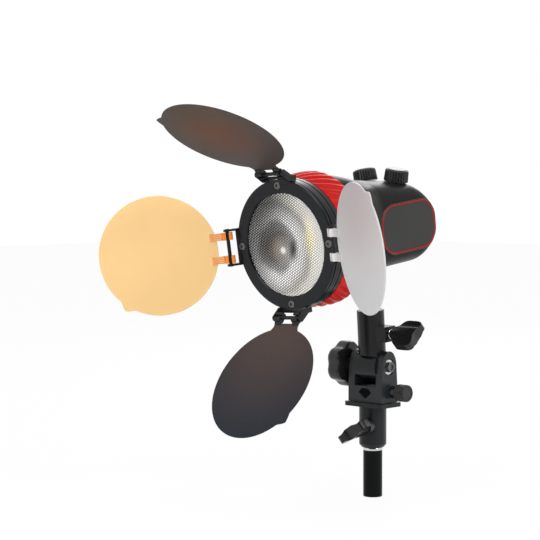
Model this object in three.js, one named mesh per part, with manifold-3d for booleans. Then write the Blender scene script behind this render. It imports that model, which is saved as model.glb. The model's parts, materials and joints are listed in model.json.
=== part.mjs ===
// A focusing LED spotlight with four round barn-door leaves, on a tilting stand bracket.
// Millimetres, +Z up. The origin is the centre of the riser tube's lower end, the beam leaves
// towards -Y, and +X is the side with the white diffusing leaf.
import * as THREE from "three";
import { mergeVertices } from "three/addons/utils/BufferGeometryUtils.js";
import Module from "manifold-3d";

const wasm = await Module();
wasm.setup();

// Clearances that every fit shares
const seat = 0.3;
const runningGap = 0.35;
const overrun = 4;

// Counts of facets
const wideSteps = 40;
const innerSteps = 24;
const midSteps = 18;
const smallSteps = 12;
const pinSteps = 8;
const cornerSteps = 3;

// Pose in which the lamp stands
const headLean = 4;
const footWedge = 3.226;
const ringTurn = 2.57;
const topLeafAngle = 55.2;
const rightLeafAngle = 29.3;
const bottomLeafAngle = 42.2;
const leftLeafAngle = 42.2;
const leafTurn = { top: 0, right: 1 / 4, bottom: 1 / 2, left: 3 / 4 };

// Riser tube and stud of the stand
const riserRadius = 9.5;
const riserWall = 1.2;
const riserHeight = 45.6;
const plugHeight = 9;
const studRadius = 7.9;
const studHeight = 36;
const studCollarRadius = 9.7;
const studCollarHeight = 3;
const studGrooveDepth = 1.1;
const studGrooveLength = 12;
const studGrooveRise = 21.8;
const studChamfer = 1;
const studPlugDepth = 22;

// Lower socket with its flange
const socketRadius = 13.5;
const socketBore = studRadius + seat;
const socketHeight = 40.6;
const socketToeRadius = 11.2;
const socketToeHeight = 3;
const flangeMargin = 2.5;
const flangeOverhang = 4;
const flangeThickness = 4.2;
const flangeCorner = 3;
const bossWidth = 15;
const bossProud = 11;
const bossReach = socketRadius + bossProud;
const lowerScrewTurn = 19;
const screwHeightOnSocket = 21.5;

// Yoke: a block with an umbrella hole and two cheeks
const yokeDepth = 24;
const yokeCorner = 1.6;
const blockHeight = 16;
const cheekThickness = 7.7;
const yokeWidth = 2 * (socketRadius + seat + cheekThickness);
const flangeWidth = yokeWidth + 2 * flangeMargin;
const flangeDepth = yokeDepth + 2 * flangeOverhang;
const webThickness = 4;
const webRise = 6.4;
const cheekHalfDepth = 10.6;
const cheekTopRise = 15.5;
const pivotRise = 35.2;
const umbrellaHalfWidth = 7.9;
const umbrellaHoleTop = 4.6;
const umbrellaHoleDrop = 5.8;
const umbrellaHoleRise = 9.2;
const pivotRadius = 4;
const recessRadius = 7.9;
const recessDepth = 2.4;
const padRadius = 7;
const padReach = 3;

// Upper socket, hinged in the yoke
const barrelRadius = 11;
const barrelHalfLength = yokeWidth / 2 - cheekThickness - seat;
const headSocketFoot = 13;
const headSocketTop = 55.5;
const headBore = studRadius + seat;
const headBoreFloor = 22;
const headScrewRise = 33;

// Clamp handle, the same above and below
const screwRadius = 3;
const washerRadius = 4.8;
const washerThickness = 1.6;
const handleStandoff = 4.5;
const handleFoot = bossReach + handleStandoff;
const handleHubRadius = 5.9;
const handleHubLength = 5;
const wingHeelRadius = 9.5;
const wingStart = handleFoot + handleHubLength;
const wingLength = 24;
const wingEnd = wingStart + wingLength;
const wingHalfSpan = 15.6;
const wingTipThickness = 5.6;
const wingRootThickness = 11.6;
const handleScrewTip = studRadius - studGrooveDepth + seat;
const upperHandleTurn = 41;
const lowerHandleTurn = 36;

// Umbrella thumb screw
const thumbRadius = 8.4;
const thumbLength = 11.5;
const thumbNeckLength = 8.2;
const thumbStart = yokeWidth / 2 + padReach + seat + thumbNeckLength;
const thumbRise = 2;
const thumbFlutes = 14;
const thumbFluteDepth = 0.55;
const thumbNeckRadius = 6;

// Tilt lock knob and its bolt
const lockRadius = 22.8;
const lockLobes = 6;
const lockLobeDepth = 2.6;
const lockStandoff = 5;
const lockInner = yokeWidth / 2 + lockStandoff;
const lockThickness = 16.5;
const lockCrown = 3;
const lockHubRadius = 9.5;
const boltHeadRadius = 5.6;
const boltHeadHeight = 3.4;
const boltWasherRadius = 7.4;
const boltWasherThickness = 1;

// Lamp: where its front face lies from the tilt pivot
const lampForward = 117.16;
const lampRise = 130.79;

// Front barrel, with the black band behind the ring
const sleeveRadius = 58;
const sleeveWall = 6;
const sleeveEngagement = 1.5;
const barrelBore = sleeveRadius - sleeveWall;
const noseStep = 0.8;
const noseRadius = sleeveRadius - noseStep;
const bandStep = 2.9;
const bandRadius = sleeveRadius + bandStep;
const bandLength = 8.8;
const bandGroove = 0.8;
const bandGrooveLength = 1.4;
const lensLipWidth = 2.8;
const lensLip = barrelBore - lensLipWidth;
const lensLipThickness = 1.8;

// Barn-door ring, which turns on the front barrel's nose
const ringOverhang = 0.7;
const ringInner = lensLip - ringOverhang;
const ringOuter = bandRadius + seat;
const ringBore = noseRadius + runningGap;
const ringLength = 8.5;
const bandStart = ringLength + runningGap;
const ringChamfer = 1.1;
const ringFaceDepth = 3.2;
const ringGrooveDepth = 0.9;
const ringGrooveStart = 3.1;
const ringGrooveEnd = 4.4;
const ringScrewInset = 5.6;
const ringScrewCircle = ringOuter - ringScrewInset;
const ringScrewRadius = 3.7;
const ringScrewProud = 0.7;
const ringScrewSink = 1.3;
const hexRadius = 1.7;

// Red focus ring, which turns on the barrel's sleeve
const gripBore = sleeveRadius + runningGap;
const gripStart = bandStart + bandLength + runningGap;
const gripLength = 26.6;
const gripEnd = gripStart + gripLength;
const gripFrontWall = 3.05;
const gripFlare = 2.8;
const gripFrontRadius = gripBore + gripFrontWall;
const gripRearRadius = gripFrontRadius + gripFlare;
const gripCrown = 1.1;
const gripFlutes = 30;
const gripFluteDepth = 1.5;
const gripTwist = 14;
const camDepth = 1.6;

// Lens, its clip ring and the reflector that slides behind it
const lensThickness = 4;
const lensCrown = 1.2;
const clipRingWidth = 2.4;
const clipRingThickness = 2;
const reflectorFront = 16.5;
const reflectorRear = 53;
const reflectorMargin = 4.6;
const reflectorMouth = barrelBore - reflectorMargin;
const reflectorThroat = 12.5;
const reflectorWall = 1.3;
const carrierStart = 24.2;
const carrierThickness = 5.6;
const focusPinRadius = 2;
const focusPinReach = gripBore + camDepth - 2 * seat;
const focusTravel = 8;
const focusTurn = 60;
const focusPinCount = 3;

// Housing
const housingStart = gripEnd + runningGap;
const sleeveEnd = housingStart + sleeveEngagement;
const coneLip = 2.4;
const housingRadius = sleeveRadius + coneLip;
const housingSplit = 88;
const housingEnd = 177;
const housingHalfWidth = 42;
const housingTopFront = 48.6;
const housingTopRear = 42.2;
const housingBottom = 40.2;
const housingWall = 3;
const taperEnd = 97;
const knobStation = 144;
const topRoundLength = 34;
const bottomRoundLength = 28;
const rearCentre = -3;
const rearCornerLength = 6;
const housingCrown = 6;

// Side panels
const panelLength = 82;
const panelHeight = 49.5;
const panelCorner = 19.5;
const panelStart = 90;
const panelMiddle = -0.7;
const panelThickness = 1.5;
const panelProud = 0.3;
const trimWidth = 1.5;
const trimProud = 0.35;
const trimInset = 0.5;

// Control knobs
const knobOffset = 19;
const knobSplay = 11.5;
const knobRake = 4.5;
const knobRadius = 12;
const knobTopRadius = 11.3;
const knobHeight = 12;
const knobFlutes = 16;
const knobFluteDepth = 0.8;
const capRadius = 9.6;
const capThickness = 1.2;
const capProud = 0.4;
const stemRadius = 3;
const stemLength = 12.5;
const potRadius = 8.4;
const potHeight = 7;
const potDrop = 7;
const bushRadius = 4.2;
const knobLift = 0.6;

// Leaves and their hinges
const discRadius = 57.5;
const hingeStandoff = 6;
const hingeRadius = ringOuter + hingeStandoff;
const hingeForward = 6.5;
const discEdge = 10.55;
const discCentre = discRadius + discEdge;
const discOffset = 1.57;
const metalThickness = 1;
const plasticThickness = 1.6;
const tabAngle = 52;
const tabReach = 5;
const tabHalfWidth = 7;
const clipInner = 7;
const clipOuter = 15.2;
const clipHalfLength = 4.9;
const clipHalfThickness = 3.2;
const clipChamfer = 1;
const tongueLength = 19;
const tongueThickness = 3.4;
const hingePinRadius = 1.8;
const armThickness = 2;
const armInner = clipOuter + runningGap;
const armEyeRadius = 3.6;
const hingePinProud = 0.5;
const hingePinHalf = armInner + armThickness + hingePinProud;
const armFoot = 8.2;
const bracketTop = 2.6;

// Inner parts
const sinkStart = 66;
const sinkBase = 6;
const sinkRadius = 40;
const sinkDepth = 34;
const finCount = 9;
const finThickness = 2;
const boardThickness = 2;
const boardSide = 44;
const boardCorner = 8;
const chipRadius = 9;
const chipHeight = 1.4;
const fanSide = 60;
const fanDepth = 15;
const fanStart = 106.3;
const fanBore = 28;
const fanHubRadius = 12;
const fanBladeReach = 26.5;
const fanBladeThickness = 1.4;
const fanBladeDepth = 9;
const fanBladeCount = 7;
const driverLength = 34;
const driverWidth = 64;
const driverThickness = 1.6;
const driverStart = 128;
const driverLevel = -8;
const postRadius = 3.2;
const inletRadius = 5.6;
const inletHoleRadius = 2.9;
const inletLength = 13;
const inletFlangeRadius = 7.2;
const inletFlange = 1.6;
const ventRows = 4;
const ventWidth = 3;
const ventLength = 16;
const ventInner = 3;
const ventPitch = 6;
const ventStart = 137;
const bulkheadStart = 61.7;
const bulkheadThickness = 4;
const bulkheadBore = 30;

// Foot and spigot under the housing
const footWidth = 24;
const footLength = 22;
const footBase = 84;
const footTop = 104;
const footCorner = 4;
const spigotFoot = 22.6;
const spigotCollarRadius = 10;
const spigotCollar = 4;
const spigotStem = 6;

const degrees = (angle) => THREE.MathUtils.degToRad(angle);

function finish(name, color, roughness, metalness) {
  return new THREE.MeshStandardMaterial({ name, color, roughness, metalness });
}

const finishes = {
  blackPaint: finish("black_paint", 0x1b1c1f, 0.42, 0.3),
  ringPaint: finish("ring_paint", 0x20242b, 0.4, 0.5),
  blackPlastic: finish("black_plastic", 0x232426, 0.6, 0),
  panelPlastic: finish("panel_plastic", 0x3a3c3d, 0.5, 0),
  red: finish("red_plastic", 0xd5262b, 0.35, 0),
  steel: finish("steel", 0xb9bcc0, 0.25, 1),
  darkSteel: finish("dark_steel", 0x3b3d41, 0.35, 0.8),
  silver: finish("silver", 0xe3e4e6, 0.15, 1),
  glass: finish("glass", 0xe8eef2, 0.05, 0),
  amber: finish("amber_plastic", 0xffb457, 0.35, 0),
  white: finish("white_plastic", 0xf2efee, 0.4, 0),
  leafPaint: finish("leaf_paint", 0x3a3130, 0.5, 0.3),
  grey: finish("grey_plastic", 0xc9cbcc, 0.4, 0),
  aluminium: finish("aluminium", 0xa9acae, 0.4, 1),
  board: finish("board_green", 0x1f5a3a, 0.6, 0),
  chip: finish("chip_yellow", 0xf2d25a, 0.5, 0),
};

// Joins shared corners, drops triangles without area and turns the faces outwards
function welded(geometry) {
  const bare = geometry.clone();
  bare.deleteAttribute("normal");
  bare.deleteAttribute("uv");
  const merged = mergeVertices(bare, 1e-4);
  const corners = merged.attributes.position;
  const source = Array.from(merged.index.array);
  const kept = [];
  let volume = 0;
  for (let i = 0; i < source.length; i += 3) {
    const [a, b, c] = source.slice(i, i + 3);
    if (a === b || b === c || c === a) continue;
    kept.push(a, b, c);
    const [p, q, r] = [a, b, c].map((k) => new THREE.Vector3().fromBufferAttribute(corners, k));
    volume += p.dot(q.cross(r));
  }
  if (volume < 0) kept.reverse();
  merged.setIndex(kept);
  return merged;
}

function solid(geometry) {
  const mesh = welded(geometry);
  const vertProperties = new Float32Array(mesh.attributes.position.array);
  const triVerts = new Uint32Array(mesh.index.array);
  return new wasm.Manifold(new wasm.Mesh({ numProp: 3, vertProperties, triVerts }));
}

const join = (first, ...others) => others.reduce((whole, piece) => whole.add(piece), first);
const cut = (first, ...others) => others.reduce((whole, piece) => whole.subtract(piece), first);

function named(name, shape, material) {
  const mesh = shape.getMesh();
  const geometry = new THREE.BufferGeometry();
  geometry.setAttribute("position", new THREE.BufferAttribute(mesh.vertProperties, 3));
  geometry.setIndex(new THREE.BufferAttribute(mesh.triVerts, 1));
  geometry.computeVertexNormals();
  const part = new THREE.Mesh(geometry, material);
  part.name = name;
  return part;
}

// Turns a profile of [radius, height] points round the Y axis
function turned(profile, steps) {
  const points = profile.map(([radius, height]) => new THREE.Vector2(radius, height));
  return solid(new THREE.LatheGeometry([...points, points[0]], steps));
}

// The same round the Z axis
function turnedUp(profile, steps) {
  const points = profile.map(([radius, height]) => new THREE.Vector2(radius, height));
  return solid(new THREE.LatheGeometry([...points, points[0]], steps).rotateX(Math.PI / 2));
}

// A round bar from one point to another along one axis
function bar(radius, from, to, axis, steps) {
  const geometry = new THREE.CylinderGeometry(radius, radius, to - from, steps);
  geometry.translate(0, (from + to) / 2, 0);
  if (axis === "x") geometry.rotateZ(-Math.PI / 2);
  if (axis === "z") geometry.rotateX(Math.PI / 2);
  return solid(geometry);
}

// A block given by its lowest and highest corners
function block(low, high) {
  const size = high.map((value, i) => value - low[i]);
  const middle = high.map((value, i) => (value + low[i]) / 2);
  return solid(new THREE.BoxGeometry(...size).translate(...middle));
}

function roundedOutline(width, height, corner) {
  const [x, y] = [width / 2, height / 2];
  const outline = new THREE.Shape();
  outline.absarc(x - corner, y - corner, corner, 0, Math.PI / 2);
  outline.absarc(-x + corner, y - corner, corner, Math.PI / 2, Math.PI);
  outline.absarc(-x + corner, -y + corner, corner, Math.PI, Math.PI * 1.5);
  outline.absarc(x - corner, -y + corner, corner, Math.PI * 1.5, Math.PI * 2);
  return outline;
}

function extruded(outline, thickness, curveSegments) {
  return new THREE.ExtrudeGeometry(outline, { depth: thickness, bevelEnabled: false, curveSegments });
}

// Joins rings of points, each with as many points as the last, and closes both ends
function lofted(rings) {
  const around = rings[0].length;
  const corners = rings.flat();
  const faces = [];
  for (let ring = 0; ring + 1 < rings.length; ring += 1) {
    for (let i = 0; i < around; i += 1) {
      const [a, b] = [ring * around + i, ring * around + ((i + 1) % around)];
      faces.push(a, b, a + around, b, b + around, a + around);
    }
  }
  for (const ring of [0, rings.length - 1]) {
    const middle = corners.length;
    const centre = rings[ring].reduce((sum, point) => sum.add(point), new THREE.Vector3());
    corners.push(centre.divideScalar(around));
    for (let i = 0; i < around; i += 1) {
      const [a, b] = [ring * around + i, ring * around + ((i + 1) % around)];
      faces.push(...(ring === 0 ? [b, a, middle] : [a, b, middle]));
    }
  }
  const geometry = new THREE.BufferGeometry().setFromPoints(corners);
  geometry.setIndex(faces);
  return solid(geometry);
}

// A fluted drum: its radius at each height, with grooves that run round it as it rises
function flutedDrum(stations, flutes, depth, twist, pointsPerFlute) {
  const around = flutes * pointsPerFlute;
  const first = stations[0][1];
  const length = stations[stations.length - 1][1] - first;
  const rings = stations.map(([radius, height, share]) => {
    const turn = (degrees(twist) * (height - first)) / length;
    return Array.from({ length: around }, (_, i) => {
      const angle = (2 * Math.PI * i) / around + turn;
      const wave = (1 - Math.cos((2 * Math.PI * (i % pointsPerFlute)) / pointsPerFlute)) / 2;
      const reach = radius - depth * share * wave;
      return new THREE.Vector3(reach * Math.sin(angle), height, reach * Math.cos(angle));
    });
  });
  return lofted(rings);
}

// Riser tube and stud

function riserTube() {
  const inner = riserRadius - riserWall;
  return turnedUp([
    [inner, 0], [riserRadius, 0], [riserRadius, riserHeight], [inner, riserHeight],
  ], midSteps);
}

// Plug that closes the tube's lower end
function riserPlug() {
  const radius = riserRadius - riserWall - seat;
  return turnedUp([[0, 0], [radius, 0], [radius, plugHeight], [0, plugHeight]], midSteps);
}

// Profile of a stud's side from its foot to its top, with a groove for a clamp screw
function studSide(foot, top, grooveMiddle) {
  const [low, high] = [grooveMiddle - studGrooveLength / 2, grooveMiddle + studGrooveLength / 2];
  const groove = studRadius - studGrooveDepth;
  return [
    [studRadius, foot], [studRadius, low], [groove, low + studGrooveDepth],
    [groove, high - studGrooveDepth], [studRadius, high], [studRadius, top],
  ];
}

function standStud() {
  const plug = riserRadius - riserWall - seat;
  const collarFoot = riserHeight + seat;
  const collarTop = collarFoot + studCollarHeight;
  const top = collarTop + studHeight;
  return turnedUp([
    [0, riserHeight - studPlugDepth], [plug, riserHeight - studPlugDepth], [plug, collarFoot],
    [studCollarRadius, collarFoot], [studCollarRadius, collarTop],
    ...studSide(collarTop, top - studChamfer, collarTop + studGrooveRise),
    [studRadius - studChamfer, top], [0, top],
  ], midSteps);
}

// Bracket

const socketFoot = riserHeight + studCollarHeight + 2 * seat;
const flangeFoot = socketFoot + socketHeight;
const blockFoot = flangeFoot + flangeThickness + seat;
const pivotHeight = blockFoot + pivotRise;
const lowerScrewHeight = socketFoot + screwHeightOnSocket;
const umbrellaHeight = blockFoot + umbrellaHoleRise;
const thumbHeight = umbrellaHeight + thumbRise;

// A square boss for a clamp screw, from the socket's middle out along +X, at the given height
function screwBoss(height) {
  const half = bossWidth / 2;
  return block([0, -half, height - half], [bossReach, half, height + half]);
}

function lowerSocket() {
  const tube = turnedUp([
    [0, socketFoot], [socketToeRadius, socketFoot], [socketRadius, socketFoot + socketToeHeight],
    [socketRadius, flangeFoot], [0, flangeFoot],
  ], midSteps);
  const outline = roundedOutline(flangeWidth, flangeDepth, flangeCorner);
  const plate = extruded(outline, flangeThickness, cornerSteps);
  const flange = solid(plate.translate(0, 0, flangeFoot));
  const boss = screwBoss(lowerScrewHeight).rotate([0, 0, lowerScrewTurn - 90]);
  const bore = bar(socketBore, socketFoot - overrun, flangeFoot - studChamfer, "z", midSteps);
  const screwHole = bar(screwRadius + seat, -bossReach - overrun, 0, "y", pinSteps)
    .rotate([0, 0, lowerScrewTurn]).translate([0, 0, lowerScrewHeight]);
  return cut(join(tube, flange, boss), bore, screwHole);
}

// Outline of a cheek in the plane of Y and Z: tapering upwards, arched over the pivot
function cheekOutline() {
  const half = yokeDepth / 2;
  const outline = new THREE.Shape();
  outline.moveTo(-half, 0);
  outline.lineTo(half, 0);
  outline.lineTo(half, blockHeight);
  outline.absellipse(0, pivotRise, cheekHalfDepth, cheekTopRise, 0, Math.PI);
  outline.lineTo(-half, blockHeight);
  return outline;
}

function yokeBody() {
  const side = extruded(cheekOutline(), yokeWidth, 8);
  side.rotateX(Math.PI / 2).rotateZ(Math.PI / 2).translate(-yokeWidth / 2, 0, blockFoot);
  const plan = roundedOutline(yokeWidth, yokeDepth, yokeCorner);
  const corners = extruded(plan, pivotRise + yokeWidth, cornerSteps);
  corners.translate(0, 0, blockFoot - overrun);
  return solid(side).intersect(solid(corners));
}

// A hole with a flat top and a V below, which centres round shafts of any width
function umbrellaHole() {
  const outline = new THREE.Shape();
  outline.moveTo(-umbrellaHalfWidth, 0);
  outline.lineTo(-umbrellaHalfWidth * umbrellaTopShare, umbrellaHoleTop);
  outline.lineTo(umbrellaHalfWidth * umbrellaTopShare, umbrellaHoleTop);
  outline.lineTo(umbrellaHalfWidth, 0);
  outline.lineTo(0, -umbrellaHoleDrop);
  const shape = extruded(outline, yokeDepth + 2 * overrun, 1);
  return solid(shape.rotateX(Math.PI / 2).translate(0, yokeDepth / 2 + overrun, umbrellaHeight));
}
const umbrellaTopShare = 0.55;

function yoke() {
  const halfGap = yokeWidth / 2 - cheekThickness;
  const gap = block(
    [-halfGap, -yokeDepth, blockFoot + blockHeight],
    [halfGap, yokeDepth, pivotHeight + yokeDepth],
  );
  const web = block(
    [-halfGap - seat, yokeDepth / 2 - webThickness, blockFoot + blockHeight - seat],
    [halfGap + seat, yokeDepth / 2, blockFoot + blockHeight + webRise],
  );
  const pad = bar(padRadius, yokeWidth / 2 - seat, yokeWidth / 2 + padReach, "x", smallSteps)
    .translate([0, 0, thumbHeight]);
  const recess = bar(recessRadius, yokeWidth / 2 - recessDepth, yokeWidth, "x", smallSteps)
    .translate([0, 0, pivotHeight]);
  const pivotHole = bar(pivotRadius + seat, -yokeWidth, yokeWidth, "x", smallSteps)
    .translate([0, 0, pivotHeight]);
  const thumbHole = bar(screwRadius + seat, 0, yokeWidth, "x", pinSteps).translate([0, 0, thumbHeight]);
  const fork = cut(join(yokeBody(), pad), gap, recess, pivotHole);
  return cut(join(fork, web), umbrellaHole(), thumbHole);
}

// Bolt through both cheeks, with its head in the recess and its thread in the lock knob
function pivotBolt() {
  const headFoot = yokeWidth / 2 - recessDepth + boltWasherThickness + 2 * seat;
  const shank = bar(pivotRadius, -lockInner - lockThickness / 2, headFoot + seat, "x", smallSteps);
  const head = bar(boltHeadRadius, headFoot, headFoot + boltHeadHeight, "x", 6);
  return join(shank, head);
}

function pivotWasher() {
  const foot = yokeWidth / 2 - recessDepth + seat;
  return cut(
    bar(boltWasherRadius, foot, foot + boltWasherThickness, "x", smallSteps),
    bar(pivotRadius + seat, foot - overrun, foot + overrun, "x", smallSteps),
  );
}

// Knob with soft lobes, whose hub reaches the cheek
function lockKnob() {
  const outer = -lockInner - lockThickness;
  const drum = flutedDrum([
    [lockRadius * lockFaceShare, outer, lockFaceShare],
    [lockRadius - lockCrown / 3, outer + lockCrown / 2, 1],
    [lockRadius, outer + lockCrown * 2, 1], [lockRadius, -lockInner - lockCrown, 1],
    [lockRadius * lockBackShare, -lockInner, lockBackShare],
  ], lockLobes, lockLobeDepth, 0, 5);
  const hub = bar(lockHubRadius, -lockInner - lockCrown, -yokeWidth / 2 - seat, "x", smallSteps);
  const hole = bar(pivotRadius + seat, outer + lockCrown, 0, "x", smallSteps);
  return cut(join(drum.rotate([0, 0, -90]), hub), hole);
}
const lockFaceShare = 0.86;
const lockBackShare = 0.93;

// Upper socket: a barrel between the cheeks that carries a tube, pivot at the origin

function headSocket() {
  const barrel = bar(barrelRadius, -barrelHalfLength, barrelHalfLength, "x", midSteps);
  const tube = bar(socketRadius, headSocketFoot, headSocketTop, "z", midSteps);
  const neck = bar(barrelHalfLength, 0, headSocketFoot + seat, "z", midSteps);
  const saddle = neck.intersect(block(
    [-barrelHalfLength, -barrelRadius, 0],
    [barrelHalfLength, barrelRadius, headSocketFoot + seat],
  ));
  const reach = socketRadius + overrun;
  const pivotHole = bar(pivotRadius + seat, -reach, reach, "x", smallSteps);
  const bore = bar(headBore, headBoreFloor, headSocketTop + overrun, "z", midSteps);
  const screwHole = bar(screwRadius + seat, 0, bossReach + overrun, "x", pinSteps)
    .translate([0, 0, headScrewRise]);
  return cut(join(barrel, saddle, tube, screwBoss(headScrewRise)), pivotHole, bore, screwHole);
}

// Clamp screw along +X with its washer
function handleScrew() {
  const washerFoot = bossReach + seat;
  return join(
    bar(screwRadius, handleScrewTip, wingStart + overrun, "x", pinSteps),
    bar(washerRadius, washerFoot, washerFoot + washerThickness, "x", smallSteps),
  );
}

// Outline of the handle along its screw: a hub that widens into two wings
function handleOutline() {
  const span = wingHalfSpan;
  const ease = span * wingEaseShare;
  const upper = [
    [handleFoot, handleHubRadius], [wingStart - ease, handleHubRadius], [wingStart, wingHeelRadius],
    [wingStart + ease, span * wingCrownShare], [wingStart + 2 * ease, span], [wingEnd - ease, span],
    [wingEnd, span * wingHeelShare], [wingEnd - span * wingDishShare, 0],
  ];
  const lower = upper.slice(0, -1).reverse().map(([x, y]) => [x, -y]);
  return new THREE.Shape([...upper, ...lower].map(([x, y]) => new THREE.Vector2(x, y)));
}
const wingHeelShare = 0.8;
const wingEaseShare = 0.16;
const wingCrownShare = 0.94;
const wingDishShare = 0.12;

// Side view of the handle: thick on the screw's axis, thin at the wing tips
function handleTaper() {
  const upper = [
    [-wingHalfSpan - overrun, wingTipThickness / 2], [-wingHeelRadius, wingTipThickness / 2],
    [-wingHeelRadius * wingRootShare, wingRootThickness / 2],
    [wingHeelRadius * wingRootShare, wingRootThickness / 2],
    [wingHeelRadius, wingTipThickness / 2], [wingHalfSpan + overrun, wingTipThickness / 2],
  ];
  const lower = upper.map(([x, y]) => [x, -y]).reverse();
  return new THREE.Shape([...upper, ...lower].map(([x, y]) => new THREE.Vector2(x, y)));
}
const wingRootShare = 0.45;

function clampHandle() {
  const length = wingEnd + overrun;
  const face = solid(extruded(handleOutline(), 2 * wingHalfSpan, 1).translate(0, 0, -wingHalfSpan));
  const side = extruded(handleTaper(), length, 1).rotateZ(Math.PI / 2).rotateY(Math.PI / 2);
  const hub = bar(handleHubRadius, handleFoot, wingStart, "x", smallSteps);
  const hole = bar(screwRadius + seat, 0, wingStart + overrun + seat, "x", pinSteps);
  return cut(join(face.intersect(solid(side)), hub), hole);
}

function handleGroup(prefix, turn) {
  const group = new THREE.Group();
  group.rotation.x = degrees(turn);
  group.add(named(`${prefix}_clamp_screw`, handleScrew(), finishes.steel));
  group.add(named(`${prefix}_clamp_handle`, clampHandle(), finishes.blackPlastic));
  return group;
}

function thumbKnob() {
  const end = thumbStart + thumbLength;
  const rim = thumbRadius - thumbFluteDepth * 2;
  const drum = flutedDrum([
    [rim, thumbStart, 0], [thumbRadius, thumbStart + thumbFluteDepth, 1],
    [thumbRadius, end - thumbFluteDepth, 1], [rim, end, 0],
  ], thumbFlutes, thumbFluteDepth, 0, 3);
  const neck = bar(thumbNeckRadius, thumbStart - thumbNeckLength, thumbStart + seat, "y", smallSteps);
  const hole = bar(screwRadius + seat, 0, thumbStart + thumbLength / 2, "y", pinSteps);
  return cut(join(drum, neck), hole).rotate([0, 0, -90]);
}

function thumbScrew() {
  const tip = umbrellaHalfWidth - seat;
  return bar(screwRadius, tip, thumbStart + thumbLength / 2 - seat, "x", pinSteps);
}

// Lamp, drawn along +Y from the ring's face at the origin

function barnDoorRing() {
  const bevel = ringChamfer;
  const ring = turned([
    [ringInner, 0], [ringOuter - bevel, 0], [ringOuter, bevel], [ringOuter, ringGrooveStart],
    [ringOuter - ringGrooveDepth, ringGrooveStart + seat], [ringOuter - ringGrooveDepth, ringGrooveEnd],
    [ringOuter, ringGrooveEnd + seat], [ringOuter, ringLength], [ringBore, ringLength],
    [ringBore, ringFaceDepth], [ringInner + bevel, ringFaceDepth], [ringInner, ringFaceDepth - bevel],
  ], wideSteps);
  const holes = Object.values(leafTurn).map((turn) => ringScrewSpace(ringScrewRadius + seat, turn));
  return cut(ring, ...holes);
}

function ringScrewSpace(radius, turn) {
  return bar(radius, -ringScrewProud - overrun, ringScrewSink, "y", pinSteps)
    .translate([0, 0, ringScrewCircle]).rotate([0, 360 * turn, 0]);
}

// Button head with a hexagon socket
function ringScrew() {
  const top = -ringScrewProud;
  const socketFloor = ringScrewSink * hexFloorShare;
  const head = turned([
    [0, top], [ringScrewRadius - ringScrewProud, top], [ringScrewRadius, 0],
    [ringScrewRadius, ringScrewSink - seat], [0, ringScrewSink - seat],
  ], pinSteps);
  return cut(head, bar(hexRadius, top - overrun, socketFloor, "y", 6)).translate([0, 0, ringScrewCircle]);
}
const hexFloorShare = 0.3;

// Groove in the focus ring's bore that climbs as it runs round, about a given angle
function camGroove(centreAngle) {
  const half = focusPinRadius + runningGap;
  const turn = degrees(focusTurn);
  const climb = Math.atan2(focusTravel, turn * gripBore);
  const span = turn + (2 * half) / gripBore;
  const middle = carrierStart + carrierThickness / 2;
  const rings = Array.from({ length: camSteps + 1 }, (_, i) => {
    const angle = (i / camSteps - 1 / 2) * span;
    const along = middle + (angle * focusTravel) / turn;
    return [[-half, 0], [half, 0], [half, 1], [-half, 1]].map(([across, out]) => {
      const radius = out ? gripBore + camDepth : gripBore - overrun;
      const around = degrees(centreAngle) + angle - (across * Math.sin(climb)) / gripBore;
      const height = along + across * Math.cos(climb);
      return new THREE.Vector3(radius * Math.sin(around), height, radius * Math.cos(around));
    });
  });
  return lofted(rings);
}
const camSteps = 8;

function frontBarrel() {
  const groove = bandRadius - bandGroove;
  const bandEnd = bandStart + bandLength;
  const grooveFoot = bandStart + bandGrooveLength * 2;
  const lipFront = ringFaceDepth + seat;
  const shell = turned([
    [lensLip, lipFront], [noseRadius, lipFront], [noseRadius, bandStart], [bandRadius, bandStart],
    [bandRadius, grooveFoot], [groove, grooveFoot + seat], [groove, grooveFoot + bandGrooveLength],
    [bandRadius, grooveFoot + bandGrooveLength + seat], [bandRadius, bandEnd], [sleeveRadius, bandEnd],
    [sleeveRadius, sleeveEnd], [barrelBore, sleeveEnd], [barrelBore, lipFront + lensLipThickness],
    [lensLip, lipFront + lensLipThickness],
  ], wideSteps);
  return cut(shell, ...focusPinPlaces(pinSlot));
}

const focusPinPlaces = (make) => Array.from(
  { length: focusPinCount },
  (_, i) => make().rotate([0, (360 * i) / focusPinCount + focusPinStart, 0]),
);
const focusPinStart = 45;

// Straight slot in the barrel that lets a focus pin slide
function pinSlot() {
  const half = focusPinRadius + runningGap;
  const middle = carrierStart + carrierThickness / 2;
  const reach = focusTravel / 2 + half;
  return block(
    [-half, middle - reach, barrelBore - overrun],
    [half, middle + reach, sleeveRadius + overrun],
  );
}

function focusPin() {
  const middle = carrierStart + carrierThickness / 2;
  return bar(focusPinRadius, barrelBore - overrun, focusPinReach, "z", pinSteps).translate([0, middle, 0]);
}

// Solid bowl, wide at the front, whose side lies a given distance outside the mirror surface
function bowl(offset, spare) {
  const side = Array.from({ length: bowlSteps + 1 }, (_, i) => {
    const share = i / bowlSteps;
    const radius = reflectorMouth + (reflectorThroat - reflectorMouth) * share + offset;
    return [radius, reflectorFront + (reflectorRear - reflectorFront) * (1 - (1 - share) ** 2)];
  });
  const [first, last] = [side[0], side[bowlSteps]];
  return turned([
    [0, first[1] - spare], [first[0], first[1] - spare], ...side,
    [last[0], last[1] + spare], [0, last[1] + spare],
  ], innerSteps);
}

// Bowl on a carrier ring, with the pins that follow the focus ring's grooves
function reflector() {
  const carrierEnd = carrierStart + carrierThickness;
  const carrier = bar(barrelBore - runningGap, carrierStart, carrierEnd, "y", innerSteps);
  return cut(join(bowl(reflectorWall, 0), carrier, ...focusPinPlaces(focusPin)), bowl(0, overrun));
}
const bowlSteps = 4;

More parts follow.
